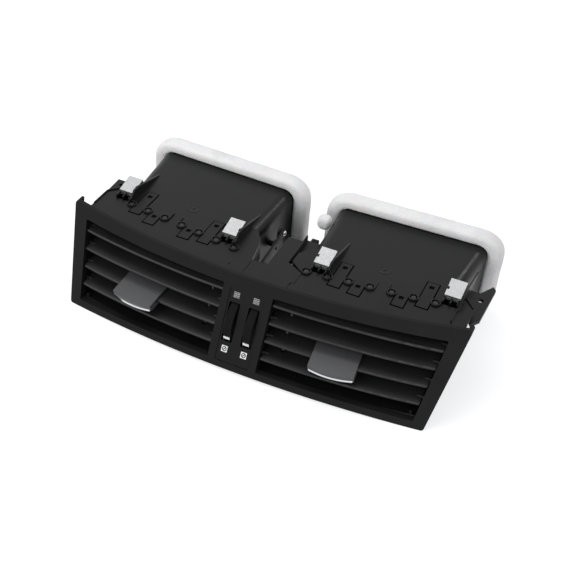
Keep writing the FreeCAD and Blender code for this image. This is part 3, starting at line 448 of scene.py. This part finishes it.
@dataclass(frozen=True)
class CadFinishes:
    """Finish of each carried-over CAD node, by the start of its name."""

    by_prefix: tuple[tuple[str, Finish], ...] = (
        ("bezel", Finish.GRAINED_ABS),
        ("centre_plate", Finish.GRAINED_ABS),
        ("knob_trim", Finish.CHROME),
        ("knob", Finish.KNOB_ABS),
        ("thumbwheel", Finish.WHEEL_TPE),
        ("wheel_mark", Finish.WHITE_INLAY),
        ("wheel_axle", Finish.AXLE_STEEL),
        ("wheel_carrier", Finish.HOUSING_PP),
        ("clip", Finish.CLIP_STEEL),
        ("damper_crank", Finish.LINK_ACETAL),
        ("link_rod", Finish.LINK_ACETAL),
        ("slat_tie_bar", Finish.BLADE_PA),
        ("vane_tie_bar", Finish.LINK_ACETAL),
        ("vane_carrier", Finish.HOUSING_PP),
        ("slat", Finish.BLADE_PA),
        ("vane", Finish.BLADE_PA),
        ("foam", Finish.FOAM),
    )
    other: Finish = Finish.HOUSING_PP

    def of(self, node: str) -> Finish:
        """Finish of a CAD node.

        Args:
            node: the node's name.

        Returns:
            Its finish.
        """
        for prefix, finish in self.by_prefix:
            if node.startswith(prefix):
                return finish
        return self.other

    def dress(self) -> None:
        """Give every CAD node its finish."""
        for obj in list(bpy.context.scene.objects):
            node = obj.get("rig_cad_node")
            if node is None:
                continue
            material = self.of(str(node)).material()
            if not obj.material_slots:
                obj.data.materials.append(material)
            for place in obj.material_slots:
                place.material = material
            log.info("dressed %s with %s", node, material.name)


def new_piece(
    name: str,
    mesh: bmesh.types.BMesh,
    finish: Finish,
    body: str,
    smooth: bool = True,
) -> bpy.types.Object:
    """Turn a finished bmesh into a piece that rides on a body, and report it.

    Args:
        name: name of the piece.
        mesh: its faces, in metres.
        finish: its finish.
        body: CAD body that it moves with.
        smooth: whether its faces are shaded as one round surface.

    Returns:
        The new object.
    """
    data = bpy.data.meshes.new(name)
    bmesh.ops.recalc_face_normals(mesh, faces=mesh.faces)
    mesh.to_mesh(data)
    mesh.free()
    for polygon in data.polygons:
        polygon.use_smooth = smooth
    obj = bpy.data.objects.new(name, data)
    bpy.context.scene.collection.objects.link(obj)
    obj.data.materials.append(finish.material())
    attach(obj, body)
    log.info("made %s, which rides on %s", name, body)
    return obj


@dataclass
class FoamRings:
    """Soft ring round the neck of each duct, with the bezel's millimetres for its places."""

    inner_x: tuple[float, float] = (23.4, 154.7)
    inner_z: tuple[float, float] = (8.1, 65.7)
    inner_radius: float = 8.7
    side_thickness: float = 13.8
    top_thickness: float = 10.3
    depth: float = 17.0
    front: float = 165.1
    duct_rear: float = 164.8
    skew: float = 2.15
    roundness: float = 3.0
    steps_round: int = 220
    steps_section: int = 36
    lump_mm: float = 0.35
    lump_frequency: float = 0.09
    lump_stretch: float = 1.5
    lowest: float = -2.2

    def build(self) -> None:
        """Make both rings."""
        for side, name in ((1, "right"), (-1, "left")):
            obj = new_piece(f"foam_ring_{name}", self._mesh(side), Finish.FOAM, ROOT_BODY)
            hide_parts(f"foam_seal_{name}")

    def _outline(self, share: float) -> tuple[float, float, float, float]:
        """Point and outward normal on the ring's inner outline.

        Args:
            share: distance round the outline, from 0 to 1.

        Returns:
            X, Z and the normal's X and Z.
        """
        r = self.inner_radius
        x0, x1 = self.inner_x
        z0, z1 = self.inner_z
        wide, high, bend = x1 - x0 - 2 * r, z1 - z0 - 2 * r, math.pi * r / 2
        runs = [
            ("line", wide, (x0 + r, z0), (1, 0)),
            ("bend", bend, (x1 - r, z0 + r), -90.0),
            ("line", high, (x1, z0 + r), (0, 1)),
            ("bend", bend, (x1 - r, z1 - r), 0.0),
            ("line", wide, (x1 - r, z1), (-1, 0)),
            ("bend", bend, (x0 + r, z1 - r), 90.0),
            ("line", high, (x0, z1 - r), (0, -1)),
            ("bend", bend, (x0 + r, z0 + r), 180.0),
        ]
        left = share * sum(run[1] for run in runs)
        for kind, length, start, way in runs:
            if left > length:
                left -= length
                continue
            if kind == "line":
                return start[0] + way[0] * left, start[1] + way[1] * left, way[1], -way[0]
            angle = math.radians(way + 90.0 * left / length)
            nx, nz = math.cos(angle), math.sin(angle)
            return start[0] + r * nx, start[1] + r * nz, nx, nz
        return x0 + r, z0, 0.0, -1.0

    def _mesh(self, side: int) -> bmesh.types.BMesh:
        """Sweep the fat section round the outline.

        Args:
            side: 1 for the right ring and -1 for the left.

        Returns:
            The ring's mesh.
        """
        mesh = bmesh.new()
        turn = math.radians(self.skew)
        power = 2.0 / self.roundness
        rings = []
        for i in range(self.steps_round):
            x, z, nx, nz = self._outline(i / self.steps_round)
            thickness = self.side_thickness * nx * nx + self.top_thickness * nz * nz
            loop = []
            for j in range(self.steps_section):
                angle = 2 * math.pi * j / self.steps_section
                u = math.copysign(abs(math.cos(angle)) ** power, math.cos(angle))
                v = math.copysign(abs(math.sin(angle)) ** power, math.sin(angle))
                out = thickness / 2 * (1 + u)
                back = self.depth / 2 * (1 + v)
                place = Vector((x + nx * out, back * self.lump_stretch, z + nz * out))
                lump = noise.noise(place * self.lump_frequency)
                out += lump * self.lump_mm * (1 + u) / 2
                px, pz = x + nx * out, z + nz * out
                py = self.front - self.duct_rear + back
                wx = px * math.cos(turn) - py * math.sin(turn)
                wy = self.duct_rear + px * math.sin(turn) + py * math.cos(turn)
                loop.append(mesh.verts.new(row(side * wx, wy, max(pz, self.lowest))))
            rings.append(loop)
        for i in range(self.steps_round):
            a, b = rings[i], rings[(i + 1) % self.steps_round]
            for j in range(self.steps_section):
                k = (j + 1) % self.steps_section
                mesh.faces.new((a[j], a[k], b[k], b[j]))
        return mesh


@dataclass
class FoamBumper:
    """Small foam block beside the right duct."""

    cuts: int = 14
    roundness: float = 2.6
    lump_mm: float = 0.2
    lump_frequency: float = 300.0

    def build(self) -> None:
        """Make the block with soft edges."""
        low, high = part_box("foam_bumper")
        mesh = bmesh.new()
        bmesh.ops.create_cube(mesh, size=1.0)
        bmesh.ops.subdivide_edges(mesh, edges=mesh.edges[:], cuts=self.cuts, use_grid_fill=True)
        centre = (Vector(low) + Vector(high)) / 2
        half = (Vector(high) - Vector(low)) / 2
        for vert in mesh.verts:
            way = vert.co.normalized()
            reach = sum(abs(c) ** self.roundness for c in way) ** (1.0 / self.roundness)
            place = Vector([way[i] / reach * half[i] for i in range(3)])
            lump = noise.noise(place * self.lump_frequency) * self.lump_mm * MM
            place += place.normalized() * lump
            vert.co = centre + place
        obj = new_piece("foam_block", mesh, Finish.FOAM, ROOT_BODY)
        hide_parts("foam_bumper")


def lathe(
    mesh: bmesh.types.BMesh, profile: Sequence[tuple[float, float]], middle: Vector, way: Vector
) -> None:
    """Add a turned form, closed where its first or last ring is small.

    Args:
        mesh: mesh that gets the faces.
        profile: radius and distance along the axis of each ring, in millimetres.
        middle: where the axis starts, in metres.
        way: direction of the axis.
    """
    steps = 48
    largest_closed_radius = 0.6
    axis = way.normalized()
    side = axis.orthogonal().normalized()
    other = axis.cross(side)
    rings = []
    for radius, along in profile:
        loop = []
        for i in range(steps):
            angle = 2 * math.pi * i / steps
            out = side * math.cos(angle) + other * math.sin(angle)
            loop.append(mesh.verts.new(middle + (axis * along + out * radius) * MM))
        rings.append(loop)
    for a, b in zip(rings, rings[1:]):
        for i in range(steps):
            k = (i + 1) % steps
            mesh.faces.new((a[i], a[k], b[k], b[i]))
    for (radius, _), loop in ((profile[0], rings[0]), (profile[-1], rings[-1])):
        if radius < largest_closed_radius:
            mesh.faces.new(loop)


def bevelled_box(
    mesh: bmesh.types.BMesh, low: tuple[float, float, float], high: tuple[float, float, float], bevel: float
) -> None:
    """Add a box with rounded edges.

    Args:
        mesh: mesh that gets the faces.
        low: lowest corner in the bezel's millimetres.
        high: highest corner.
        bevel: radius of the edges in millimetres.
    """
    a, b = row(*low), row(*high)
    size = Matrix.Diagonal((b.x - a.x, b.y - a.y, b.z - a.z, 1.0))
    made = bmesh.ops.create_cube(mesh, size=1.0, matrix=Matrix.Translation((a + b) / 2) @ size)
    edges = list({edge for vert in made["verts"] for edge in vert.link_edges})
    bmesh.ops.bevel(mesh, geom=edges, offset=bevel * MM, segments=3, affect="EDGES", profile=0.5)


def vane_axes(name: str) -> list[tuple[float, float]]:
    """X and Y of the vane axes of one vent.

    Args:
        name: right or left.

    Returns:
        Places in the bezel's millimetres, from the vent's inner side outwards.
    """
    found = []
    for joint in frame["record"]["behaviour"]["joints"]:
        if joint["name"].startswith(f"{name}_vane_") and "tie_bar" not in joint["name"]:
            x, y, _ = joint["pos_m"]
            found.append((x / MM - ORIGIN_SHIFT.x, y / MM - ORIGIN_SHIFT.y))
    return sorted(found, key=lambda place: abs(place[0]))


@dataclass
class HousingTops:
    """Small moulded forms on top of both housings: collars, gate marks and guides, with painted shade over
    the gaps.

    Each finger has its middle across the vent, its front, its rear, and whether a band of painted gap
    shade closes its rear. Places are in the bezel's millimetres. The gate mark's rim has the distance in
    from its edge and the height of each ring, and its nub the radius and the height.
    """

    top: float = 67.0
    collar_radius: float = 4.3
    collar_bore: float = 3.0
    collar_height: float = 1.7
    tail_length: float = 10.0
    tail_wall: float = 0.9
    tail_drop: float = 0.4
    tail_edge: float = 0.25
    gate_place: tuple[float, float] = (87.7, 101.8)
    gate_radius: float = 6.0
    gate_rim: tuple[tuple[float, float], ...] = ((0.0, -0.2), (0.3, 0.25), (0.9, 0.3), (1.3, 0.12))
    gate_nub: tuple[tuple[float, float], ...] = ((1.3, 0.12), (0.9, 0.3), (0.7, 0.9), (0.3, 1.0))
    # Width of each band of painted shade over a gap.
    gap_width: float = 1.2
    finger_half: float = 5.15
    fingers: tuple[tuple[float, float, float, bool], ...] = (
        (129.0, 70.6, 104.4, True),
        (111.4, 63.1, 80.5, False),
        (76.2, 59.6, 77.0, False),
        (58.6, 61.6, 94.4, True),
    )
    towers: tuple[tuple[float, float], ...] = ((148.0, 92.0), (41.5, 80.0))
    tower_half: float = 6.7
    guide_gap: float = 2.1
    guide_length: float = 6.5
    guide_wall: float = 1.4
    guide_height: float = 3.2
    sink: float = 0.3
    edge: float = 0.3
    # Lift above the top and overlap of the painted shade bands.
    gap_lift: float = 0.06
    gap_overlap: float = 0.2

    def build(self) -> None:
        """Make the small forms of both housings."""
        for side, name in ((1, "right"), (-1, "left")):
            new_piece(f"pin_collars_{name}", self._collars(name), Finish.HOUSING_PP, ROOT_BODY)
            new_piece(f"gate_mark_{name}", self._gate_mark(side), Finish.HOUSING_PP, ROOT_BODY)
            new_piece(f"clip_guides_{name}", self._guides(side), Finish.HOUSING_PP, ROOT_BODY)
            # Flat near-black bands of painted shade, laid over the gaps round the fingers and guides.
            new_piece(f"painted_finger_shade_{name}", self._gaps(side), Finish.OPEN_GAP, ROOT_BODY)

    def _collars(self, name: str) -> bmesh.types.BMesh:
        """Collar round each vane pin, with a short rib behind the two in the middle.

        Args:
            name: right or left.

        Returns:
            The collars' mesh.
        """
        mesh = bmesh.new()
        r, b, h, e = self.collar_radius, self.collar_bore, self.collar_height, self.edge
        profile = ((b, -self.sink), (b, h - e), (b + e, h), (r - e, h), (r, h - e), (r, -self.sink))
        axes = vane_axes(name)
        for x, y in axes:
            lathe(mesh, profile, row(x, y, self.top), Vector((0, 0, 1)))
        half = self.tail_wall / 2
        for (x, y), way in zip(axes[3:5], (1, -1)):
            x += way * math.copysign(r - half, x)
            low = (x - half, y, self.top - self.sink)
            high = (x + half, y + self.tail_length, self.top + h - self.tail_drop)
            bevelled_box(mesh, low, high, self.tail_edge)
        return mesh

    def _gate_mark(self, side: int) -> bmesh.types.BMesh:
        """Shallow disc with the nub where the plastic entered the mould.

        Args:
            side: 1 for the right housing and -1 for the left.

        Returns:
            The disc's mesh.
        """
        mesh = bmesh.new()
        x, y = self.gate_place
        rim = tuple((self.gate_radius - inward, height) for inward, height in self.gate_rim)
        lathe(mesh, rim + self.gate_nub, row(side * x, y, self.top), Vector((0, 0, 1)))
        return mesh

    def _guides(self, side: int) -> bmesh.types.BMesh:
        """Three ribs in front of each clip tower, which guide the clip onto it.

        Args:
            side: 1 for the right housing and -1 for the left.

        Returns:
            The ribs' mesh.
        """
        mesh = bmesh.new()
        for x, y in self.towers:
            rear = y - self.guide_gap
            for place in (-1.0, 0.0, 1.0):
                half = self.guide_wall / 2
                middle = side * x + place * (self.tower_half - half)
                low = (middle - half, rear - self.guide_length, self.top - self.sink)
                high = (middle + half, rear, self.top + self.guide_height)
                bevelled_box(mesh, low, high, self.edge)
        return mesh

    def _gaps(self, side: int) -> bmesh.types.BMesh:
        """Painted shade: thin, unlit dark bands laid just above the top where the gaps round the snap
        fingers and between the guides fall into shade.

        Args:
            side: 1 for the right housing and -1 for the left.

        Returns:
            The bands' mesh.
        """
        mesh = bmesh.new()
        lift = self.top + self.gap_lift
        half = self.gap_width / 2

        def band(x0: float, x1: float, y0: float, y1: float) -> None:
            """Lay one band.

            Args:
                x0: its low edge across the vent.
                x1: its high edge across the vent.
                y0: its front edge.
                y1: its rear edge.
            """
            corners = [row(side * x, y, lift) for x, y in ((x0, y0), (x1, y0), (x1, y1), (x0, y1))]
            mesh.faces.new([mesh.verts.new(corner) for corner in corners])

        for x, y0, y1, closed in self.fingers:
            for edge in (-self.finger_half, self.finger_half):
                band(x + edge - half, x + edge + half, y0 - half, y1)
            for y in (y0, y1) if closed else (y0,):
                band(x - self.finger_half - half, x + self.finger_half + half, y - half, y + half)
        for x, y in self.towers:
            front = y - self.guide_gap - self.guide_length
            band(x - self.tower_half, x + self.tower_half, front, y - self.guide_gap + self.gap_overlap)
        return mesh


@dataclass
class WheelBaffles:
    """Plate behind each thumbwheel that keeps light from shining through its slot.

    Its outer part is lower, so that the link rod passes above it.
    """

    front: float = 63.6
    wall: float = 1.2
    inner: float = 2.0
    step: float = 12.6
    outer: float = 18.6
    bottom: float = 3.0
    step_height: float = 17.0
    top: float = 63.5
    overlap: float = 0.5
    edge: float = 0.3

    def build(self) -> None:
        """Make both plates."""
        for side, name in ((1, "right"), (-1, "left")):
            mesh = bmesh.new()
            for near, far, height in (
                (self.inner, self.step, self.top),
                (self.step - self.overlap, self.outer, self.step_height),
            ):
                xs = sorted((side * near, side * far))
                low, high = (xs[0], self.front, self.bottom), (xs[1], self.front + self.wall, height)
                bevelled_box(mesh, low, high, self.edge)
            new_piece(f"wheel_baffle_{name}", mesh, Finish.HOUSING_PP, ROOT_BODY)


def upright_wall(
    mesh: bmesh.types.BMesh, path: Sequence[tuple[float, float]], wall: float, bottom: float, top: float
) -> None:
    """Add a thin upright wall that follows a path.

    Args:
        mesh: mesh that gets the faces.
        path: X and Y of one face's corners in the bezel's millimetres.
        wall: thickness across the vent, which may be negative.
        bottom: height of the lower edge.
        top: height of the upper edge.
    """
    outline = list(path) + [(x + wall, y) for x, y in reversed(path)]
    low = [mesh.verts.new(row(x, y, bottom)) for x, y in outline]
    high = [mesh.verts.new(row(x, y, top)) for x, y in outline]
    mesh.faces.new(low)
    mesh.faces.new(high)
    for i in range(len(outline)):
        k = (i + 1) % len(outline)
        mesh.faces.new((low[i], low[k], high[k], high[i]))


@dataclass
class UprightRibs:
    """Thin upright ribs: on the ledge, and on the flange of each hood."""

    ledge_path: tuple[tuple[float, float], ...] = ((12.5, 117.5), (12.5, 88.0), (13.8, 72.0))
    ledge_bottom: float = 57.2
    ledge_top: float = 64.5
    lip_path: tuple[tuple[float, float], ...] = ((165.9, 67.0), (165.9, 88.5), (155.6, 100.0))
    lip_top: float = 68.0
    web_path: tuple[tuple[float, float], ...] = ((154.4, 65.5), (154.4, 99.0))
    web_top: float = 68.8
    hood_top: float = 66.7
    wall: float = 1.0

    def build(self) -> None:
        """Make the ribs."""
        self._rib("ledge_rib", self.ledge_path, self.ledge_bottom, self.ledge_top)
        self._rib("hood_web_right", self.web_path, self.hood_top, self.web_top)
        self._rib("hood_lip_right", self.lip_path, self.hood_top, self.lip_top)
        left = [(-x - self.wall, y) for x, y in self.lip_path]
        self._rib("hood_lip_left", left, self.hood_top, self.lip_top)

    def _rib(self, name: str, path: Sequence[tuple[float, float]], bottom: float, top: float) -> None:
        """Make one rib with flat faces.

        Args:
            name: name of the piece.
            path: X and Y of its left face.
            bottom: height of its lower edge.
            top: height of its upper edge.
        """
        mesh = bmesh.new()
        upright_wall(mesh, path, self.wall, bottom, top)
        new_piece(name, mesh, Finish.HOUSING_PP, ROOT_BODY, smooth=False)


@dataclass
class CrankRivets:
    """Bright rivet head on the pin that joins each link rod to its damper crank."""

    place: tuple[float, float, float] = (13.0, 129.36, 49.46)
    radius: float = 2.3
    height: float = 1.5
    rings: int = 8
    ring_degrees: int = 12

    def build(self) -> None:
        """Make both heads."""
        for side, name in ((1, "right"), (-1, "left")):
            mesh = bmesh.new()
            r, h = self.radius, self.height
            angles = [math.radians(ring * self.ring_degrees) for ring in range(self.rings)]
            profile = [(r * math.cos(angle), h * math.sin(angle)) for angle in angles]
            x, y, z = self.place
            lathe(mesh, profile, row(side * x, y, z), Vector((-side, 0, 0)))
            new_piece(f"crank_rivet_{name}", mesh, Finish.RIVET_STEEL, f"{name}_damper")


@dataclass
class SillPegs:
    """Small stop peg at the outer lower corner of each opening."""

    place: tuple[float, float] = (147.0, 20.8)
    radius: float = 1.1
    bottom: float = 4.5
    top: float = 7.4
    edge: float = 0.4
    tip_radius: float = 0.2

    def build(self) -> None:
        """Make both pegs."""
        for side, name in ((1, "right"), (-1, "left")):
            mesh = bmesh.new()
            r, h, e = self.radius, self.top - self.bottom, self.edge
            profile = ((r, 0.0), (r, h - e), (r - e, h), (self.tip_radius, h))
            lathe(mesh, profile, row(side * self.place[0], self.place[1], self.bottom), Vector((0, 0, 1)))
            new_piece(f"sill_peg_{name}", mesh, Finish.GRAINED_ABS, ROOT_BODY)


@dataclass
class PrintedSigns:
    """Open and shut signs printed above and below each thumbwheel.

    The shares are parts of a sign's half-width: open_edge and the wave shape the open sign, and
    the ring and the slash the shut one.
    """

    column: float = 8.6
    open_height: float = 56.7
    shut_height: float = 14.6
    half: float = 2.6
    height_share: float = 0.95
    lean: float = 25.0
    plan_radius: float = 906.3
    recess: float = 0.5
    lift: float = 0.03
    cells: int = 44
    corner_start: float = 0.86
    corner_radius: float = 0.14
    open_edge: float = 0.86
    bars: int = 3
    bar_pitch: float = 0.8
    bar_fill: float = 0.45
    wave_height: float = 0.1
    wave_turns: float = 0.8
    ring: tuple[float, float] = (0.5, 0.78)
    slash: float = 0.2

    def build(self) -> None:
        """Print the four signs."""
        for side, name in ((1, "right"), (-1, "left")):
            x = side * self.column
            self._sign(f"sign_open_{name}", x, self.open_height, self._open_ink, Finish.PRINTED_GREY)
            self._sign(f"sign_shut_{name}", x, self.shut_height, self._shut_ink, Finish.PRINTED_WHITE)

    def _surface(self, x: float, z: float) -> Vector:
        """Place on the plate's face, lifted by the thickness of the ink.

        Args:
            x: millimetres to the right.
            z: millimetres up.

        Returns:
            The place in metres.
        """
        tan = math.tan(math.radians(self.lean))
        back = (self.recess - self.lift) / math.cos(math.radians(self.lean))
        return row(x, x * x / (2 * self.plan_radius) + z * tan + back, z)

    def _open_ink(self, u: float, v: float) -> bool:
        """Say whether ink lies at a place of the open sign, between its wavy bars.

        Args:
            u: place across the sign, from -1 to 1.
            v: place up the sign, from -1 to 1.

        Returns:
            True where it lies.
        """
        wave = v + self.wave_height * math.sin(u * math.tau * self.wave_turns)
        between = math.cos(wave * math.pi * self.bars / self.bar_pitch) < self.bar_fill
        return between and abs(v) <= self.open_edge

    def _shut_ink(self, u: float, v: float) -> bool:
        """Say whether ink lies at a place of the shut sign, outside its struck circle.

        Args:
            u: place across the sign, from -1 to 1.
            v: place up the sign, from -1 to 1.

        Returns:
            True where it lies.
        """
        reach = math.hypot(u, v)
        low, high = self.ring
        on_ring = low < reach < high
        on_slash = reach < low and abs(u - v) < self.slash
        return not (on_ring or on_slash)

    def _sign(
        self, name: str, x: float, z: float, inked: Callable[[float, float], bool], finish: Finish
    ) -> None:
        """Print one sign from fine cells of ink.

        Args:
            name: name of the piece.
            x: sign's middle across the plate.
            z: sign's middle height.
            inked: rule that says where ink lies, in half-widths from the middle.
            finish: the ink.
        """
        mesh = bmesh.new()
        step = 2.0 / self.cells
        verts: dict[tuple[int, int], bmesh.types.BMVert] = {}

        def corner(i: int, j: int) -> bmesh.types.BMVert:
            """Corner of the grid of cells, made on first use.

            Args:
                i: its column.
                j: its row.

            Returns:
                The vertex.
            """
            if (i, j) not in verts:
                u, v = -1 + i * step, -1 + j * step
                place = self._surface(x + u * self.half, z + v * self.half * self.height_share)
                verts[(i, j)] = mesh.verts.new(place)
            return verts[(i, j)]

        for i in range(self.cells):
            for j in range(self.cells):
                u, v = -1 + (i + 0.5) * step, -1 + (j + 0.5) * step
                past = [max(abs(value) - self.corner_start, 0.0) for value in (u, v)]
                if math.hypot(*past) > self.corner_radius and min(past) > 0.0:
                    continue
                if inked(u, v):
                    mesh.faces.new((corner(i, j), corner(i + 1, j), corner(i + 1, j + 1), corner(i, j + 1)))
        new_piece(name, mesh, finish, ROOT_BODY)


@dataclass(frozen=True)
class SoftLamp:
    """Soft square lamp that looks at the vent, in metres and watts."""

    name: str
    place: tuple[float, float, float]
    size: float
    power: float
    aim: tuple[float, float, float] = (0.0, 0.0, 0.03)

    def build(self) -> None:
        """Hang the lamp."""
        data = bpy.data.lights.new(self.name, "AREA")
        data.shape = "SQUARE"
        data.size = self.size
        data.energy = self.power
        obj = bpy.data.objects.new(self.name, data)
        obj.location = self.place
        way = Vector(self.aim) - Vector(self.place)
        obj.rotation_euler = way.to_track_quat("-Z", "Y").to_euler()
        bpy.context.scene.collection.objects.link(obj)


def seen_directly(tree: bpy.types.NodeTree) -> bpy.types.NodeSocket:
    """Add the nodes that tell the rays that show the backdrop from those that light the vent.

    Args:
        tree: node tree of the world or of the floor.

    Returns:
        Socket with 1 for camera, glossy and transmission rays, and 0 for the others.
    """
    rays = add_node(tree, "ShaderNodeLightPath").outputs
    shown = rays["Is Camera Ray"]
    for kind in ("Is Glossy Ray", "Is Transmission Ray"):
        either = add_node(
            tree, "ShaderNodeMath", settings={"operation": "MAXIMUM"}, links={0: shown, 1: rays[kind]}
        )
        shown = either.outputs[0]
    return shown


@dataclass
class Studio:
    """Pale floor, soft lamps and the camera at the picture's angle.

    The camera's target and distance are in the bezel's millimetres, and its focal length and
    the picture's centre in pixels of the picture.
    """

    target: tuple[float, float, float] = (0.0, 50.0, 45.0)
    yaw: float = 23.29
    elevation: float = 39.86
    roll: float = -3.52
    distance: float = 825.99
    focal_px: float = 1013.61
    centre_px: tuple[float, float] = (-29.56, 5.25)
    floor_size: float = 12.0
    floor_seen: str = "c4c4c4"
    floor_glow: float = 0.62
    floor_lit: str = "cbcbcb"
    world_grey: str = "b4b6ba"
    world_strength: float = 1.35
    lamps: tuple[SoftLamp, ...] = (
        SoftLamp("key_lamp", (-0.75, -0.95, 0.8), 0.8, 6.0),
        SoftLamp("top_lamp", (-0.3, 0.3, 1.2), 0.8, 3.0),
        SoftLamp("shoulder_lamp", (0.55, 0.95, 0.75), 0.2, 1.6),
        SoftLamp("front_lamp", (0.5, -1.3, 0.3), 0.7, 4.0),
    )

    def build(self) -> None:
        """Set up floor, world, lamps, camera and colour view."""
        bpy.context.scene.view_settings.view_transform = "Standard"
        self._floor()
        self._world()
        for lamp in self.lamps:
            lamp.build()
        self._camera()
        log.info("set up the studio")

    def _floor(self) -> None:
        """Floor that shows white to the camera and still takes the shadow."""
        mesh = bmesh.new()
        bmesh.ops.create_grid(mesh, x_segments=1, y_segments=1, size=self.floor_size / 2)
        data = bpy.data.meshes.new("floor")
        mesh.to_mesh(data)
        mesh.free()
        obj = bpy.data.objects.new("floor", data)
        bpy.context.scene.collection.objects.link(obj)
        material, tree = new_material("floor_paper")
        paper = add_node(tree, "ShaderNodeBsdfDiffuse", inputs={"Color": linear(self.floor_seen)})
        glow = add_node(
            tree, "ShaderNodeEmission", inputs={"Color": linear("ffffff"), "Strength": self.floor_glow}
        )
        seen = add_node(tree, "ShaderNodeAddShader", links={0: paper.outputs[0], 1: glow.outputs[0]})
        lit = add_node(tree, "ShaderNodeBsdfDiffuse", inputs={"Color": linear(self.floor_lit)})
        mixed = add_node(
            tree,
            "ShaderNodeMixShader",
            links={0: seen_directly(tree), 1: lit.outputs[0], 2: seen.outputs[0]},
        )
        add_node(tree, "ShaderNodeOutputMaterial", links={"Surface": mixed.outputs[0]})
        data.materials.append(material)

    def _world(self) -> None:
        """White backdrop for the camera and for reflections, plain grey light for the rest."""
        world = bpy.data.worlds.new("studio")
        bpy.context.scene.world = world
        world.use_nodes = True
        tree = world.node_tree
        tree.nodes.clear()
        light = add_node(
            tree,
            "ShaderNodeBackground",
            inputs={"Color": linear(self.world_grey), "Strength": self.world_strength},
        )
        white = add_node(
            tree, "ShaderNodeBackground", inputs={"Color": linear("ffffff"), "Strength": 1.0}
        )
        mixed = add_node(
            tree,
            "ShaderNodeMixShader",
            links={0: seen_directly(tree), 1: light.outputs[0], 2: white.outputs[0]},
        )
        add_node(tree, "ShaderNodeOutputWorld", links={"Surface": mixed.outputs[0]})

    def _camera(self) -> None:
        """Place the camera and its lens."""
        yaw, rise, roll = (math.radians(v) for v in (self.yaw, self.elevation, self.roll))
        back = Vector((math.sin(yaw) * math.cos(rise), -math.cos(yaw) * math.cos(rise), math.sin(rise)))
        level = Vector((math.cos(yaw), math.sin(yaw), 0.0))
        upward = back.cross(level)
        right = level * math.cos(roll) - upward * math.sin(roll)
        up = level * math.sin(roll) + upward * math.cos(roll)
        turn = Matrix((right, up, back)).transposed().to_4x4()
        data = bpy.data.cameras.new("camera")
        data.sensor_width = 36.0
        data.lens = self.focal_px / IMAGE_SIZE * data.sensor_width
        data.shift_x = -self.centre_px[0] / IMAGE_SIZE
        data.shift_y = self.centre_px[1] / IMAGE_SIZE
        data.clip_start = 0.05
        data.clip_end = 50.0
        obj = bpy.data.objects.new("camera", data)
        place = row(*self.target) + back * self.distance * MM
        obj.matrix_world = Matrix.Translation(place) @ turn
        bpy.context.scene.collection.objects.link(obj)
        bpy.context.scene.camera = obj


def main() -> None:
    """Build and dress the vent, then the studio."""
    logging.basicConfig(level=logging.INFO, format="%(name)s: %(message)s")
    CadFinishes().dress()
    FoamRings().build()
    FoamBumper().build()
    HousingTops().build()
    WheelBaffles().build()
    UprightRibs().build()
    CrankRivets().build()
    SillPegs().build()
    PrintedSigns().build()
    Studio().build()


if __name__ == "__main__":
    main()
